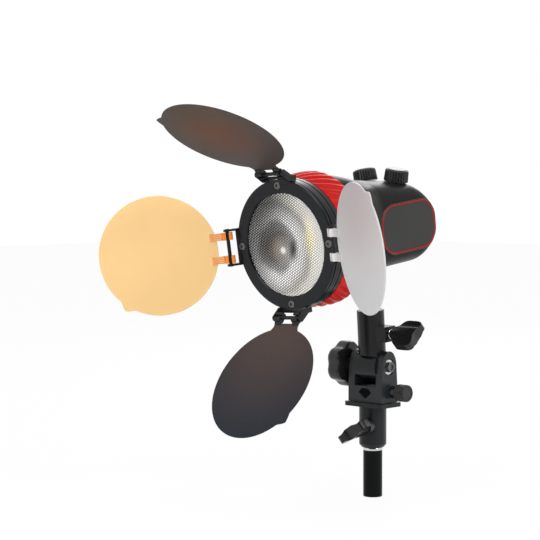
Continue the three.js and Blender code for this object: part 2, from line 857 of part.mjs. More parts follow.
function lens() {
  const front = ringFaceDepth + lensLipThickness + 2 * seat;
  const rim = barrelBore - seat;
  const back = front + lensThickness;
  return turned([
    [0, front], [rim, front], [rim, back], [rim * lensFlatShare, back],
    [0, back + lensCrown],
  ], innerSteps);
}
const lensFlatShare = 0.9;

function lensClipRing() {
  const foot = ringFaceDepth + lensLipThickness + 3 * seat + lensThickness;
  const rim = barrelBore - seat;
  return turned([
    [rim - clipRingWidth, foot], [rim, foot], [rim, foot + clipRingThickness],
    [rim - clipRingWidth, foot + clipRingThickness],
  ], innerSteps);
}

function gripRing() {
  const stations = Array.from({ length: gripRings }, (_, i) => {
    const share = i / (gripRings - 1);
    const base = gripFrontRadius + (gripRearRadius - gripFrontRadius) * share;
    const crown = gripCrown * 4 * share * (1 - share);
    return [base + crown, gripStart + gripLength * share, Math.sin(Math.PI * share) ** (1 / 2)];
  });
  const drum = flutedDrum(stations, gripFlutes, gripFluteDepth, gripTwist, 3);
  const bore = bar(gripBore, gripStart - overrun, gripEnd + overrun, "y", wideSteps);
  const cams = Array.from(
    { length: focusPinCount },
    (_, i) => camGroove((360 * i) / focusPinCount + focusPinStart),
  );
  return cut(drum, bore, ...cams);
}
const gripRings = 5;

// Housing

const ease = (share) => share * share * (3 - 2 * share);
const mix = (from, to, share) => from + (to - from) * share;

// Half width, top, bottom and squareness of the housing at a distance behind the ring's face
function housingSection(along, inset) {
  const taper = ease(Math.min(1, Math.max(0, (along - housingStart) / (taperEnd - housingStart))));
  const fall = Math.max(0, (along - taperEnd) / (knobStation - taperEnd));
  const topLine = mix(housingTopFront, housingTopRear, Math.min(1, fall));
  const end = housingEnd - inset;
  const roundOff = (length) => {
    const share = Math.max(0, (along - (end - length)) / length);
    return Math.sqrt(Math.max(0, 1 - share * share));
  };
  const corner = roundOff(rearCornerLength);
  const top = mix(housingRadius, topLine, taper) - inset;
  const bottom = mix(housingRadius, housingBottom, taper) - inset;
  return {
    half: (mix(housingRadius, housingHalfWidth, taper) - inset) * mix(rearCornerShare, 1, corner),
    top: rearCentre + (top - rearCentre) * roundOff(topRoundLength),
    bottom: rearCentre - (bottom + rearCentre) * roundOff(bottomRoundLength),
    power: mix(2, squareness, taper),
    crown: (housingCrown / housingTopRear) * taper,
  };
}
const rearCornerShare = 0.84;
const squareness = 5.5;

function housingRing(along, inset) {
  const section = housingSection(along, inset);
  return Array.from({ length: housingAround }, (_, i) => {
    const angle = (2 * Math.PI * i) / housingAround;
    const [c, s] = [Math.cos(angle), Math.sin(angle)];
    const x = Math.sign(c) * Math.abs(c) ** (2 / section.power);
    const height = s < 0 ? -section.bottom : section.top;
    const z = Math.sign(s) * Math.abs(s) ** (2 / section.power) * (1 - section.crown * x * x);
    return new THREE.Vector3(x * section.half, along, z * height);
  });
}
const housingAround = 28;

function housingLoft(from, to, inset, count, bunched) {
  const rings = Array.from({ length: count + 1 }, (_, i) => {
    const share = i / count;
    return housingRing(mix(from, to, bunched ? Math.sin((Math.PI / 2) * share) : share), inset);
  });
  return lofted(rings);
}

// Front half of the housing, with a wall inside that carries the heat sink
function housingCone() {
  const outer = housingLoft(housingStart, housingSplit, 0, 4, false);
  const core = housingLoft(housingStart, housingSplit, housingWall / 2, 4, false);
  const wallEnd = bulkheadStart + bulkheadThickness;
  const wall = bar(housingRadius, bulkheadStart, wallEnd, "y", innerSteps).intersect(core);
  const opening = bar(bulkheadBore, bulkheadStart - overrun, wallEnd + overrun, "y", midSteps);
  const collar = bar(sleeveRadius + seat, housingStart - overrun, sleeveEnd + seat, "y", wideSteps);
  const inner = housingLoft(sleeveEnd - overrun, housingSplit + overrun, housingWall, 4, false);
  return join(cut(outer, collar, inner), cut(wall, opening));
}

// Moves a piece drawn about the Z axis onto the splayed axis of one control
function onKnobAxis(piece, side) {
  return piece.rotate([-knobRake, side * knobSplay, 0])
    .translate([side * knobOffset, knobStation, knobSeatLevel]);
}
const knobSeatLevel = (() => {
  const section = housingSection(knobStation, 0);
  const share = knobOffset / section.half;
  const rounding = (1 - share ** section.power) ** (1 / section.power);
  return section.top * (1 - section.crown * share * share) * rounding;
})();

function panelOutline(grow) {
  return roundedOutline(panelLength + 2 * grow, panelHeight + 2 * grow, panelCorner + grow);
}

// A plate parallel to the housing's flat side, from one distance off the middle to another
function sidePlate(side, grow, from, to, hole) {
  const outline = panelOutline(grow);
  if (hole !== undefined) outline.holes.push(panelOutline(hole));
  const plate = extruded(outline, to - from, 4).rotateX(Math.PI / 2).rotateZ(Math.PI / 2);
  plate.translate(from, panelStart + panelLength / 2, panelMiddle);
  if (side > 0) return solid(plate);
  return solid(plate.rotateZ(Math.PI).translate(0, 2 * panelStart + panelLength, 0));
}

const panelFoot = housingHalfWidth + panelProud - panelThickness;

function housingRear() {
  const start = housingSplit + seat;
  const roundStart = housingEnd - topRoundLength;
  const frontPart = housingLoft(start, roundStart, 0, 3, false);
  const rearPart = housingLoft(roundStart, housingEnd - seat / 2, 0, 6, true);
  const innerStart = roundStart - housingWall;
  const innerFront = housingLoft(start - overrun, innerStart, housingWall, 2, false);
  const innerRear = housingLoft(innerStart, housingEnd - housingWall - seat, housingWall, 3, true);
  const reach = housingHalfWidth + overrun;
  const pockets = [1, -1].map((side) => sidePlate(side, seat, panelFoot - seat, reach));
  const shell = cut(join(frontPart, rearPart), innerFront, innerRear);
  const core = housingLoft(start, roundStart + overrun, housingWall / 2, 3, false);
  const posts = driverPosts().map((post) => post.intersect(core));
  return join(cut(shell, ...pockets, ...controlHoles(), ...inletSpace(), ...vents()), ...posts);
}

// A hole for each control's bush, and a flat seat round it for the knob
function controlHoles() {
  return [1, -1].flatMap((side) => [
    bar(bushRadius + seat, -stemLength, overrun, "z", pinSteps),
    bar(knobRadius + 2 * seat, 0, knobHeight, "z", midSteps),
  ].map((space) => onKnobAxis(space, side)));
}

function inletSpace() {
  const end = housingEnd + overrun;
  return [
    bar(inletRadius + seat, housingEnd - inletLength, end, "y", smallSteps),
    bar(inletFlangeRadius + seat, housingEnd - inletFlange, end, "y", smallSteps),
  ].map((space) => space.translate([0, 0, rearCentre]));
}

// Slots in the underside, in pairs
function vents() {
  return Array.from({ length: ventRows }, (_, row) => [1, -1].map((side) => {
    const start = ventStart + row * ventPitch;
    const slot = block(
      [ventInner, start, -housingBottom - overrun],
      [ventInner + ventLength, start + ventWidth, -housingBottom / 2],
    );
    return side > 0 ? slot : slot.mirror([1, 0, 0]);
  })).flat();
}

function driverPosts() {
  const across = driverWidth / 2 - postRadius * 2;
  const stations = [driverStart + postRadius, driverStart + driverLength / 2];
  return stations.flatMap((along) => [1, -1].map((side) => (
    bar(postRadius, -housingBottom, driverLevel - seat, "z", pinSteps).translate([side * across, along, 0])
  )));
}

function sidePanel(side) {
  const rim = trimInset + trimWidth;
  const base = sidePlate(side, 0, panelFoot, panelFoot + panelThickness);
  const grooveFloor = panelFoot + panelThickness - trimSink;
  const reach = housingHalfWidth + overrun;
  const groove = sidePlate(side, seat / 2 - trimInset, grooveFloor, reach, -rim - seat / 2);
  return cut(base, groove);
}
const trimSink = 0.7;

function sideTrim(side) {
  const foot = panelFoot + panelThickness - trimSink + seat;
  return sidePlate(side, -trimInset, foot, panelFoot + panelThickness + trimProud, -trimInset - trimWidth);
}

function controlKnob() {
  const top = knobLift + knobHeight;
  const body = flutedDrum([
    [knobRadius - knobFluteDepth, knobLift, 0], [knobRadius, knobLift + knobFluteDepth, 1],
    [knobTopRadius, top - knobFluteDepth * 1.5, 1], [knobTopRadius - knobFluteDepth * 1.4, top, 0],
  ], knobFlutes, knobFluteDepth, 0, 3).rotate([90, 0, 0]);
  const stem = bar(stemRadius, -stemLength, knobLift + seat, "z", pinSteps);
  const dish = bar(capRadius + seat / 2, top - capThickness + capProud, top + overrun, "z", midSteps);
  return cut(join(body, stem), dish);
}

function knobCap() {
  const foot = knobLift + knobHeight - capThickness + capProud + seat / 2;
  const top = foot + capThickness;
  return turnedUp([
    [0, foot], [capRadius, foot], [capRadius, top - capProud], [capRadius - capProud, top], [0, top],
  ], midSteps);
}

// Control under the top wall, whose bush passes through it and holds the knob's stem
function potentiometer() {
  const body = bar(potRadius, -potDrop - potHeight, -potDrop, "z", smallSteps);
  const bush = bar(bushRadius, -potDrop - seat, -seat, "z", pinSteps);
  return cut(join(body, bush), bar(stemRadius + runningGap, -stemLength - seat, overrun, "z", pinSteps));
}

// Inner parts

function heatSink() {
  const rear = sinkStart + sinkBase + sinkDepth;
  const base = bar(sinkRadius, sinkStart, sinkStart + sinkBase, "y", midSteps);
  const fins = Array.from({ length: finCount }, (_, i) => {
    const level = mix(-finSpanShare, finSpanShare, i / (finCount - 1)) * sinkRadius;
    const half = Math.sqrt(sinkRadius ** 2 - level ** 2) * finLengthShare;
    return block(
      [-half, sinkStart + sinkBase / 2, level - finThickness / 2],
      [half, rear, level + finThickness / 2],
    );
  });
  return join(base, ...fins);
}
const finSpanShare = 0.8;
const finLengthShare = 0.86;

function ledBoard() {
  const rear = sinkStart - seat;
  const plate = extruded(roundedOutline(boardSide, boardSide, boardCorner), boardThickness, cornerSteps);
  const face = rear - boardThickness;
  const chip = bar(chipRadius, face - chipHeight, rear - boardThickness / 2, "y", smallSteps);
  return join(solid(plate.rotateX(Math.PI / 2).translate(0, rear, 0)), chip);
}

function fanFrame() {
  const half = fanSide / 2;
  const frame = block([-half, fanStart, -half], [half, fanStart + fanDepth, half]);
  const mouth = bar(fanBore, fanStart - overrun, fanStart + fanDepth + overrun, "y", midSteps);
  const [armStart, armEnd] = [fanStart + fanDepth - fanArm, fanStart + fanDepth];
  const arms = [45, 135].map((turn) => (
    block([-fanBore - seat, armStart, -fanArm], [fanBore + seat, armEnd, fanArm]).rotate([0, turn, 0])
  ));
  const axle = bar(fanAxleRadius, fanStart + fanAxleRadius, fanStart + fanDepth, "y", pinSteps);
  return join(cut(frame, mouth), ...arms, axle);
}
const fanArm = 2;
const fanAxleRadius = 1.5;

function fanRotor() {
  const rear = fanStart + fanDepth - fanArm - runningGap;
  const hub = bar(fanHubRadius, fanStart + seat, rear, "y", smallSteps);
  const middle = (fanStart + rear) / 2;
  const [thick, deep] = [fanBladeThickness / 2, fanBladeDepth / 2];
  const blades = Array.from({ length: fanBladeCount }, (_, i) => (
    block([-thick, -deep, fanHubRadius - overrun / 2], [thick, deep, fanBladeReach])
      .rotate([0, 0, fanBladeTilt]).translate([0, middle, 0]).rotate([0, (360 * i) / fanBladeCount, 0])
  ));
  const bore = fanAxleRadius + runningGap;
  const socket = bar(bore, fanStart + fanAxleRadius - runningGap, rear + overrun, "y", pinSteps);
  return cut(join(hub, ...blades), socket);
}
const fanBladeTilt = 38;

function driverBoard() {
  const half = driverWidth / 2;
  const [start, end] = [driverStart, driverStart + driverLength];
  const board = block([-half, start, driverLevel], [half, end, driverLevel + driverThickness]);
  const part = (across, along, width, length, height) => block(
    [across - width / 2, driverStart + along - length / 2, driverLevel],
    [across + width / 2, driverStart + along + length / 2, driverLevel + driverThickness + height],
  );
  return join(
    board,
    part(-half / 2, driverLength / 3, half / 2, driverLength / 3, driverLength / 4),
    part(half / 2, driverLength / 3, half / 3, driverLength / 4, driverLength / 6),
  );
}

function dcInlet() {
  const face = housingEnd - inletFlange + seat;
  const flange = bar(inletFlangeRadius, face, face + inletFlange, "y", smallSteps);
  const body = bar(inletRadius, housingEnd - inletLength, face + seat, "y", smallSteps);
  const hole = bar(inletHoleRadius, housingEnd - inletLength / 2, housingEnd + overrun, "y", smallSteps);
  return cut(join(flange, body), hole).translate([0, 0, rearCentre]);
}

// Foot and spigot, in the upper socket's frame: square to the spigot, shaped to the housing above

function footBlock() {
  const slab = extruded(roundedOutline(footWidth, footLength, footCorner), footTop - footBase, 4);
  const housing = housingLoft(housingSplit + seat, housingEnd - topRoundLength, -seat, 3, false);
  const above = housing.rotate([footWedge, 0, 0]).translate([0, -lampForward, lampRise]);
  const hole = bar(screwRadius + seat, footBase - overrun, footBase + spigotStem + seat, "z", pinSteps);
  return cut(solid(slab.translate(0, 0, footBase)), above, hole);
}

function lampSpigot() {
  const top = footBase - seat;
  const stem = bar(screwRadius, top - seat, footBase + spigotStem, "z", pinSteps);
  const body = turnedUp([
    [0, spigotFoot], [studRadius - studChamfer, spigotFoot],
    ...studSide(spigotFoot + studChamfer, top - spigotCollar, headScrewRise),
    [spigotCollarRadius, top - spigotCollar], [spigotCollarRadius, top], [0, top],
  ], midSteps);
  return join(body, stem);
}

// Leaves and hinges, drawn with the pin on the X axis and the leaf along +Y

function leafDisc(thickness) {
  const disc = bar(discRadius, -thickness / 2, thickness / 2, "z", wideSteps);
  const plate = disc.translate([0, discCentre, -discOffset]);
  const reach = discRadius + tabReach;
  const tab = new THREE.Shape();
  tab.moveTo(-tabHalfWidth, discRadius - tabReach);
  tab.quadraticCurveTo(-tabHalfWidth * tabWaistShare, discRadius, 0, reach);
  tab.quadraticCurveTo(tabHalfWidth * tabWaistShare, discRadius, tabHalfWidth, discRadius - tabReach);
  const finger = solid(extruded(tab, thickness, 4).translate(0, 0, -thickness / 2))
    .rotate([0, 0, tabAngle]).translate([0, discCentre, -discOffset]);
  return join(plate, finger);
}
const tabWaistShare = 0.35;

// A clip that snaps on the pin, open on the side that faces the beam, with its tongue under the disc
function leafClip(side, thickness) {
  const [low, high] = side > 0 ? [clipInner, clipOuter] : [-clipOuter, -clipInner];
  const [length, depth] = [2 * clipHalfLength, 2 * clipHalfThickness];
  const outline = roundedOutline(depth, length, clipChamfer);
  const clip = extruded(outline, clipOuter - clipInner, 1).rotateY(Math.PI / 2).translate(low, 0, 0);
  const foot = -discOffset - thickness / 2;
  const tongue = block([low, clipHalfLength - seat, foot], [high, tongueLength, foot + tongueThickness]);
  return join(solid(clip), tongue);
}

function leaf(thickness) {
  const reach = clipOuter + overrun;
  const bore = bar(hingePinRadius + runningGap, -reach, reach, "x", smallSteps);
  const mouth = hingePinRadius * clipMouthShare;
  const opening = block([-reach, -mouth, 0], [reach, mouth, clipHalfThickness + overrun]);
  return cut(join(leafDisc(thickness), leafClip(1, thickness), leafClip(-1, thickness)), bore, opening);
}
const clipMouthShare = 0.85;

function hingePin() {
  return bar(hingePinRadius, -hingePinHalf, hingePinHalf, "x", pinSteps);
}

// Bracket in the lamp's directions: X along the pin, Y to the rear, Z outwards, pin at the origin
function hingeBracket() {
  const ringTop = ringOuter - hingeRadius + seat;
  const eye = new THREE.Shape();
  eye.absarc(0, 0, armEyeRadius, Math.PI * 0.5, Math.PI * 1.1);
  eye.lineTo(hingeForward + armEyeRadius * armFrontShare, ringTop - armThickness * 2);
  eye.lineTo(hingeForward + armFoot, ringTop - armThickness * 2);
  eye.lineTo(hingeForward + armFoot, ringTop + bracketTop);
  const outer = armInner + armThickness;
  const arm = () => extruded(eye, armThickness, 6).rotateX(Math.PI / 2).rotateZ(Math.PI / 2);
  const arms = [armInner, -outer].map((x) => solid(arm().translate(x, 0, 0)));
  const base = block(
    [-outer, hingeForward + armEyeRadius * armFrontShare, ringTop - armThickness * 2],
    [outer, hingeForward + armFoot, ringTop + bracketTop],
  );
  const ringSpace = bar(ringOuter + seat, 0, hingeForward + ringLength + overrun, "y", wideSteps)
    .translate([0, 0, -hingeRadius]);
  const pinHole = bar(hingePinRadius + seat, -outer - overrun, outer + overrun, "x", pinSteps);
  return cut(join(base, ...arms), ringSpace, pinHole);
}
const armFrontShare = 0.35;

function hingeGroup(name, angle, thickness, material) {
  const hinge = new THREE.Group();
  hinge.position.set(0, -hingeForward, hingeRadius);
  hinge.add(named(`hinge_bracket_${name}`, hingeBracket(), finishes.blackPaint));
  hinge.add(named(`hinge_pin_${name}`, hingePin(), finishes.blackPaint));
  const swung = new THREE.Group();
  swung.rotation.x = degrees(90 + angle);
  swung.add(named(`leaf_${name}`, leaf(thickness), material));
  hinge.add(swung);
  const around = new THREE.Group();
  around.rotation.y = 2 * Math.PI * leafTurn[name];
  around.add(hinge);
  return around;
}

function barnDoors() {
  const doors = new THREE.Group();
  doors.rotation.y = -degrees(ringTurn);
  doors.add(named("barn_door_ring", barnDoorRing(), finishes.ringPaint));
  Object.entries(leafTurn).forEach(([name, turn]) => {
    doors.add(named(`ring_screw_${name}`, ringScrew().rotate([0, 360 * turn, 0]), finishes.darkSteel));
  });
  doors.add(hingeGroup("top", topLeafAngle, metalThickness, finishes.leafPaint));
  doors.add(hingeGroup("right", rightLeafAngle, plasticThickness, finishes.white));
  doors.add(hingeGroup("bottom", bottomLeafAngle, metalThickness, finishes.leafPaint));
  doors.add(hingeGroup("left", leftLeafAngle, plasticThickness, finishes.amber));
  return doors;
}

function controls(prefix, side) {
  return [
    named(`${prefix}_knob`, onKnobAxis(controlKnob(), side), finishes.blackPlastic),
    named(`${prefix}_knob_cap`, onKnobAxis(knobCap(), side), finishes.grey),
    named(`${prefix}_control`, onKnobAxis(potentiometer(), side), finishes.steel),
  ];
}

function lamp() {
  const head = new THREE.Group();
  head.position.set(0, -lampForward, lampRise);
  head.rotation.x = degrees(footWedge);
  head.add(barnDoors());
  head.add(named("front_barrel", frontBarrel(), finishes.blackPaint));
  head.add(named("lens", lens(), finishes.glass));
  head.add(named("lens_clip_ring", lensClipRing(), finishes.steel));
  head.add(named("focus_ring", gripRing(), finishes.red));
  head.add(named("reflector", reflector(), finishes.silver));
  head.add(named("housing_cone", housingCone(), finishes.blackPlastic));
  head.add(named("housing_rear", housingRear(), finishes.blackPlastic));
  for (const [name, side] of [["right", 1], ["left", -1]]) {
    head.add(named(`side_panel_${name}`, sidePanel(side), finishes.panelPlastic));
    head.add(named(`side_trim_${name}`, sideTrim(side), finishes.red));
  }
  head.add(...controls("brightness", 1), ...controls("colour", -1));
  head.add(named("heat_sink", heatSink(), finishes.aluminium));
  head.add(named("led_board", ledBoard(), finishes.chip));
  head.add(named("fan_frame", fanFrame(), finishes.blackPlastic));
  head.add(named("fan_rotor", fanRotor(), finishes.blackPlastic));
  head.add(named("driver_board", driverBoard(), finishes.board));
  head.add(named("dc_inlet", dcInlet(), finishes.blackPlastic));
  return head;
}

function tiltHead() {
  const head = new THREE.Group();
  head.position.set(0, 0, pivotHeight);
  head.rotation.x = degrees(headLean);
  head.add(named("upper_socket", headSocket(), finishes.blackPaint));
  const handle = handleGroup("upper", upperHandleTurn);
  handle.position.set(0, 0, headScrewRise);
  head.add(handle);
  head.add(named("lamp_spigot", lampSpigot(), finishes.steel));
  head.add(named("foot_block", footBlock(), finishes.blackPlastic));
  head.add(lamp());
  return head;
}

function bracket() {
  const group = new THREE.Group();
  group.add(named("lower_socket", lowerSocket(), finishes.blackPaint));
  group.add(named("yoke", yoke(), finishes.blackPaint));
  const pivot = new THREE.Group();
  pivot.position.set(0, 0, pivotHeight);
  pivot.add(named("pivot_bolt", pivotBolt(), finishes.darkSteel));
  pivot.add(named("pivot_washer", pivotWasher(), finishes.steel));
  pivot.add(named("tilt_lock_knob", lockKnob(), finishes.blackPlastic));
  const umbrella = new THREE.Group();
  umbrella.position.set(0, 0, thumbHeight);
  umbrella.add(named("umbrella_screw", thumbScrew(), finishes.steel));
  umbrella.add(named("umbrella_screw_knob", thumbKnob(), finishes.blackPlastic));
  const lower = new THREE.Group();
  lower.position.set(0, 0, lowerScrewHeight);
  lower.rotation.z = degrees(lowerScrewTurn - 90);
  lower.add(handleGroup("lower", lowerHandleTurn));
  group.add(pivot, umbrella, lower, tiltHead());
  return group;
}

const spotlight = new THREE.Group();
spotlight.add(named("riser_tube", riserTube(), finishes.blackPaint));
spotlight.add(named("riser_plug", riserPlug(), finishes.blackPlastic));
spotlight.add(named("riser_stud", standStud(), finishes.silver));
spotlight.add(bracket());

export default spotlight;
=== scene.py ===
# %% [markdown]
# # A focusing LED spotlight with round barn-door leaves
#
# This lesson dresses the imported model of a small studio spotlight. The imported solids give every
# size, place and joint. They have few facets, so the pieces that show are built again here with
# round edges and real surfaces, each in the place of the solid that it stands for.
#
# Lengths are written in millimetres, the way a maker's drawing has them, and turned into metres
# when a piece is put in its place.

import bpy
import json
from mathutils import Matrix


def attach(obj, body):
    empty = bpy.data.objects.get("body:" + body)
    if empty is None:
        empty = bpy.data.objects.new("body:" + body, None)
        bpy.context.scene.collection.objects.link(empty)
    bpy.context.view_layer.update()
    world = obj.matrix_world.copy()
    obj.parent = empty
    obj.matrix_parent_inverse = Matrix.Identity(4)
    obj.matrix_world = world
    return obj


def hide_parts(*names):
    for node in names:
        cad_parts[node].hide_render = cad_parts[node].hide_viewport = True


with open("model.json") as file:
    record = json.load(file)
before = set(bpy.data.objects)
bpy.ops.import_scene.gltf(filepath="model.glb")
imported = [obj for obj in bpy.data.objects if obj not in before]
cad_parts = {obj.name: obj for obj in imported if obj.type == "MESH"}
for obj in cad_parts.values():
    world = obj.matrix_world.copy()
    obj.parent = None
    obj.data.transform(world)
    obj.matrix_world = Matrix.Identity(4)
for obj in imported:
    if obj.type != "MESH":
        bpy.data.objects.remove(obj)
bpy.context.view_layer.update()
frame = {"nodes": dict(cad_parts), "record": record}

# %% Bring in the modules
import json
import math
from types import SimpleNamespace

import bmesh
import bpy
from mathutils import Matrix, Vector

MM = 0.001

# %% [markdown]
# ## Frames
#
# The lamp leans on its bracket, the barn-door ring is turned a little on the lamp, and each leaf is
# folded about its own pin. Drawing a piece square in its own frame and moving it by one matrix is
# far easier than drawing it where it stands, so each of these gets a frame.

# %% Frames of the head, the lamp, the ring and the hinges
PIVOT_HEIGHT = 129.5
HEAD_LEAN = 4.0
FOOT_WEDGE = 3.226
LAMP_PLACE = (0, -117.16, 130.79)
RING_TURN = 2.57
HINGE_FORWARD = 6.5
HINGE_RADIUS = 67.2
LEAF_TURNS = {"top": 0, "right": 90, "bottom": 180, "left": 270}
LEAF_ANGLES = {"top": 55.2, "right": 29.3, "bottom": 42.2, "left": 42.2}


def turn(axis, angle):
    return Matrix.Rotation(math.radians(angle), 4, axis)


def move(x, y, z):
    return Matrix.Translation((x * MM, y * MM, z * MM))


def linked(name, data):
    """A new object of the scene."""
    made = bpy.data.objects.new(name, data)
    bpy.context.scene.collection.objects.link(made)
    return made


stand_frame = Matrix.Identity(4)
pivot_frame = move(0, 0, PIVOT_HEIGHT)
head_frame = pivot_frame @ turn("X", HEAD_LEAN)
lamp_frame = head_frame @ move(*LAMP_PLACE) @ turn("X", FOOT_WEDGE)
ring_frame = lamp_frame @ turn("Y", -RING_TURN)
hinge_frames = {
    name: ring_frame @ turn("Y", angle) @ move(0, -HINGE_FORWARD, HINGE_RADIUS)
    for name, angle in LEAF_TURNS.items()
}
leaf_frames = {
    name: hinge_frames[name] @ turn("X", 90 + angle) for name, angle in LEAF_ANGLES.items()
}
upright = turn("X", 90)
along_x = turn("Z", -90)
print("lamp's front face is centred at", [round(v, 4) for v in lamp_frame.translation])

# %% [markdown]
# ## The camera
#
# The photograph was taken from the front right, almost level with the lamp. The ring and the leaves
# are round, and the ovals that they make in the picture give the camera's place and its lens.

# %% Place the camera
CAMERA_AZIMUTH = 44.253
CAMERA_ELEVATION = 2.926
CAMERA_ROLL = 0.139
CAMERA_DISTANCE = 1473.444
CAMERA_SIDE = 13.307
CAMERA_UP = 22.962
FOCAL_PIXELS = 1589.993
PICTURE_PIXELS = 540
RING_CENTRE = (0, -126.0, 251.8)

azimuth = math.radians(CAMERA_AZIMUTH)
elevation = math.radians(CAMERA_ELEVATION)
back = Vector((
    math.sin(azimuth) * math.cos(elevation), -math.cos(azimuth) * math.cos(elevation),
    math.sin(elevation),
))
level_right = Vector((math.cos(azimuth), math.sin(azimuth), 0))
level_up = back.cross(level_right)
roll = math.radians(CAMERA_ROLL)
right = math.cos(roll) * level_right - math.sin(roll) * level_up
up = math.sin(roll) * level_right + math.cos(roll) * level_up
place = Vector(RING_CENTRE) + CAMERA_DISTANCE * back - CAMERA_SIDE * right - CAMERA_UP * up
camera_data = bpy.data.cameras.new("camera")
camera_data.sensor_width = 36
camera_data.lens = camera_data.sensor_width * FOCAL_PIXELS / PICTURE_PIXELS
camera_data.clip_start, camera_data.clip_end = 0.05, 30
camera = linked("camera", camera_data)
camera.matrix_world = Matrix((
    (right.x, up.x, back.x, place.x * MM), (right.y, up.y, back.y, place.y * MM),
    (right.z, up.z, back.z, place.z * MM), (0, 0, 0, 1),
))
bpy.context.scene.camera = camera
print("camera at", [round(v, 3) for v in camera.location], "lens", round(camera_data.lens, 1), "mm")

# %% [markdown]
# ## Finishes
#
# Each finish starts from the Principled shader. A number that is the same all over stays on the
# shader's own socket. What varies, such as the grain of a moulded shell or the fine speckle of a
# powder coat, comes from noise on Object coordinates, so it stays put when the piece moves.

# %% A helper that adds nodes
class Wiring:
    """Adds nodes to a tree, with their inputs set or wired, and gives back the output asked for."""

    def __init__(self, tree):
        self.tree = tree

    def wire(self, node, inputs):
        for key, value in inputs.items():
            if isinstance(value, bpy.types.NodeSocket):
                self.tree.links.new(value, node.inputs[key])
            else:
                node.inputs[key].default_value = value

    def put(self, kind, inputs, output=0, **settings):
        node = self.tree.nodes.new(kind)
        for key, value in settings.items():
            setattr(node, key, value)
        self.wire(node, inputs)
        return node.outputs[output]

    def sums(self, operation, a, b=0.0):
        return self.put("ShaderNodeMath", {0: a, 1: b}, operation=operation)

    def vectors(self, operation, a, b, output=0):
        return self.put("ShaderNodeVectorMath", {0: a, 1: b}, output, operation=operation)

    def banded(self, amount, stops):
        """A row of tones along a number, with each stop given as (place, tone)."""
        node = self.tree.nodes.new("ShaderNodeValToRGB")
        elements = node.color_ramp.elements
        while len(elements) < len(stops):
            elements.new(0.5)
        for element, (place_there, tone) in zip(elements, stops):
            element.position, element.color = place_there, (*tone, 1)
        self.wire(node, {"Fac": amount})
        return node.outputs["Color"]


# %% A helper that builds a finish
GRAIN_DEPTH = 0.1
DRIFT_SIZE = 40.0


def finish(name, color, roughness, shine=0.5, grain=(0, 1), drift=0, rough_drift=0, metallic=0,
           **sockets):
    """A Principled material with a fine bump, a slow drift of colour and a drift of gloss."""
    material = bpy.data.materials.new(name)
    material.use_nodes = True
    nodes = Wiring(material.node_tree)
    given = {
        "Base Color": (*color, 1), "Roughness": roughness, "Metallic": metallic,
        "Specular IOR Level": shine,
    }
    given.update({socket.replace("_", " "): value for socket, value in sockets.items()})
    where = nodes.put("ShaderNodeTexCoord", {}, "Object")

    def noise(size, detail):
        values = {"Vector": where, "Scale": 1 / (size * MM), "Detail": detail}
        return nodes.put("ShaderNodeTexNoise", values)

    strength, size = grain
    if strength:
        given["Normal"] = nodes.put("ShaderNodeBump", {
            "Strength": strength, "Distance": GRAIN_DEPTH * MM, "Height": noise(size, 3),
        })
    if drift or rough_drift:
        slow = noise(DRIFT_SIZE, 4)
    if drift:
        darker = [c * (1 - drift) for c in color]
        lighter = [min(1, c * (1 + drift)) for c in color]
        given["Base Color"] = nodes.banded(slow, [(0.3, darker), (0.7, lighter)])
    if rough_drift:
        given["Roughness"] = nodes.put("ShaderNodeMapRange", {
            "Value": slow, "To Min": max(0, roughness - rough_drift),
            "To Max": min(1, roughness + rough_drift),
        })
    nodes.wire(material.node_tree.nodes["Principled BSDF"], given)
    return material


# %% The object's finishes
# Each row: colour, roughness, shine, the grain's strength and size in millimetres, how far the
# colour and the roughness drift, and how metallic the surface is.
FINISHES = {
    "black_paint": ((0.0125, 0.0132, 0.0145), 0.26, 0.22, (0.25, 0.5), 0.15, 0.06),
    # The next row is the black paint made lighter for the yoke alone: painted light, where more
    # light falls on the yoke.
    "black_paint_lit": ((0.024, 0.028, 0.031), 0.3, 0.24, (0.3, 0.5), 0.15, 0.06),
    "riser_paint": ((0.0028, 0.0034, 0.0034), 0.24, 0.1, (0.08, 0.6), 0.15, 0.04),
    "ring_paint": ((0.0065, 0.0078, 0.0105), 0.26, 0.22, (0.12, 0.4), 0.2, 0.06),
    "black_plastic": ((0.0085, 0.0076, 0.0072), 0.36, 0.11, (0.5, 0.35), 0.12, 0.05),
    "gloss_black": ((0.0115, 0.0115, 0.012), 0.22, 0.4, (0.08, 2.0), 0, 0.05),
    "panel_plastic": ((0.022, 0.021, 0.02), 0.3, 0.3, (0.3, 0.3), 0.1, 0.05),
    "red_plastic": ((0.5, 0.009, 0.006), 0.34, 0.1, (0.15, 0.6), 0.12, 0.05),
    "amber_plastic": ((0.955, 0.63, 0.28), 0.36, 0.3, (0.06, 3.0), 0.02, 0.04),
    "amber_clip": ((0.95, 0.27, 0.03), 0.32, 0.5, (0.06, 1.0), 0.05, 0.04),
    "clip_white": ((0.8, 0.78, 0.79), 0.36, 0.5, (0.06, 1.0), 0.03, 0.04),
    "grey_plastic": ((0.15, 0.155, 0.155), 0.35, 0.2, (0.1, 0.8), 0.05, 0),
    "board_green": ((0.014, 0.1, 0.05), 0.35, 0.5, (0.2, 0.8), 0.1, 0),
    "led_yellow": ((0.86, 0.6, 0.16), 0.4, 0.5, (0.2, 0.5), 0.08, 0),
    "steel": ((0.62, 0.63, 0.65), 0.24, 0.5, (0.1, 0.4), 0, 0.08, 1.0),
    "dark_steel": ((0.14, 0.135, 0.13), 0.3, 0.5, (0.12, 0.4), 0, 0.08, 0.9),
    "chrome": ((0.62, 0.63, 0.65), 0.12, 0.5, (0.03, 3.0), 0, 0.04, 1.0),
    "mirror_aluminium": ((0.88, 0.87, 0.85), 0.12, 0.5, (0.2, 1.6), 0, 0.05, 1.0),
    "aluminium": ((0.2, 0.19, 0.18), 0.36, 0.5, (0.2, 0.5), 0, 0.08, 1.0),
}
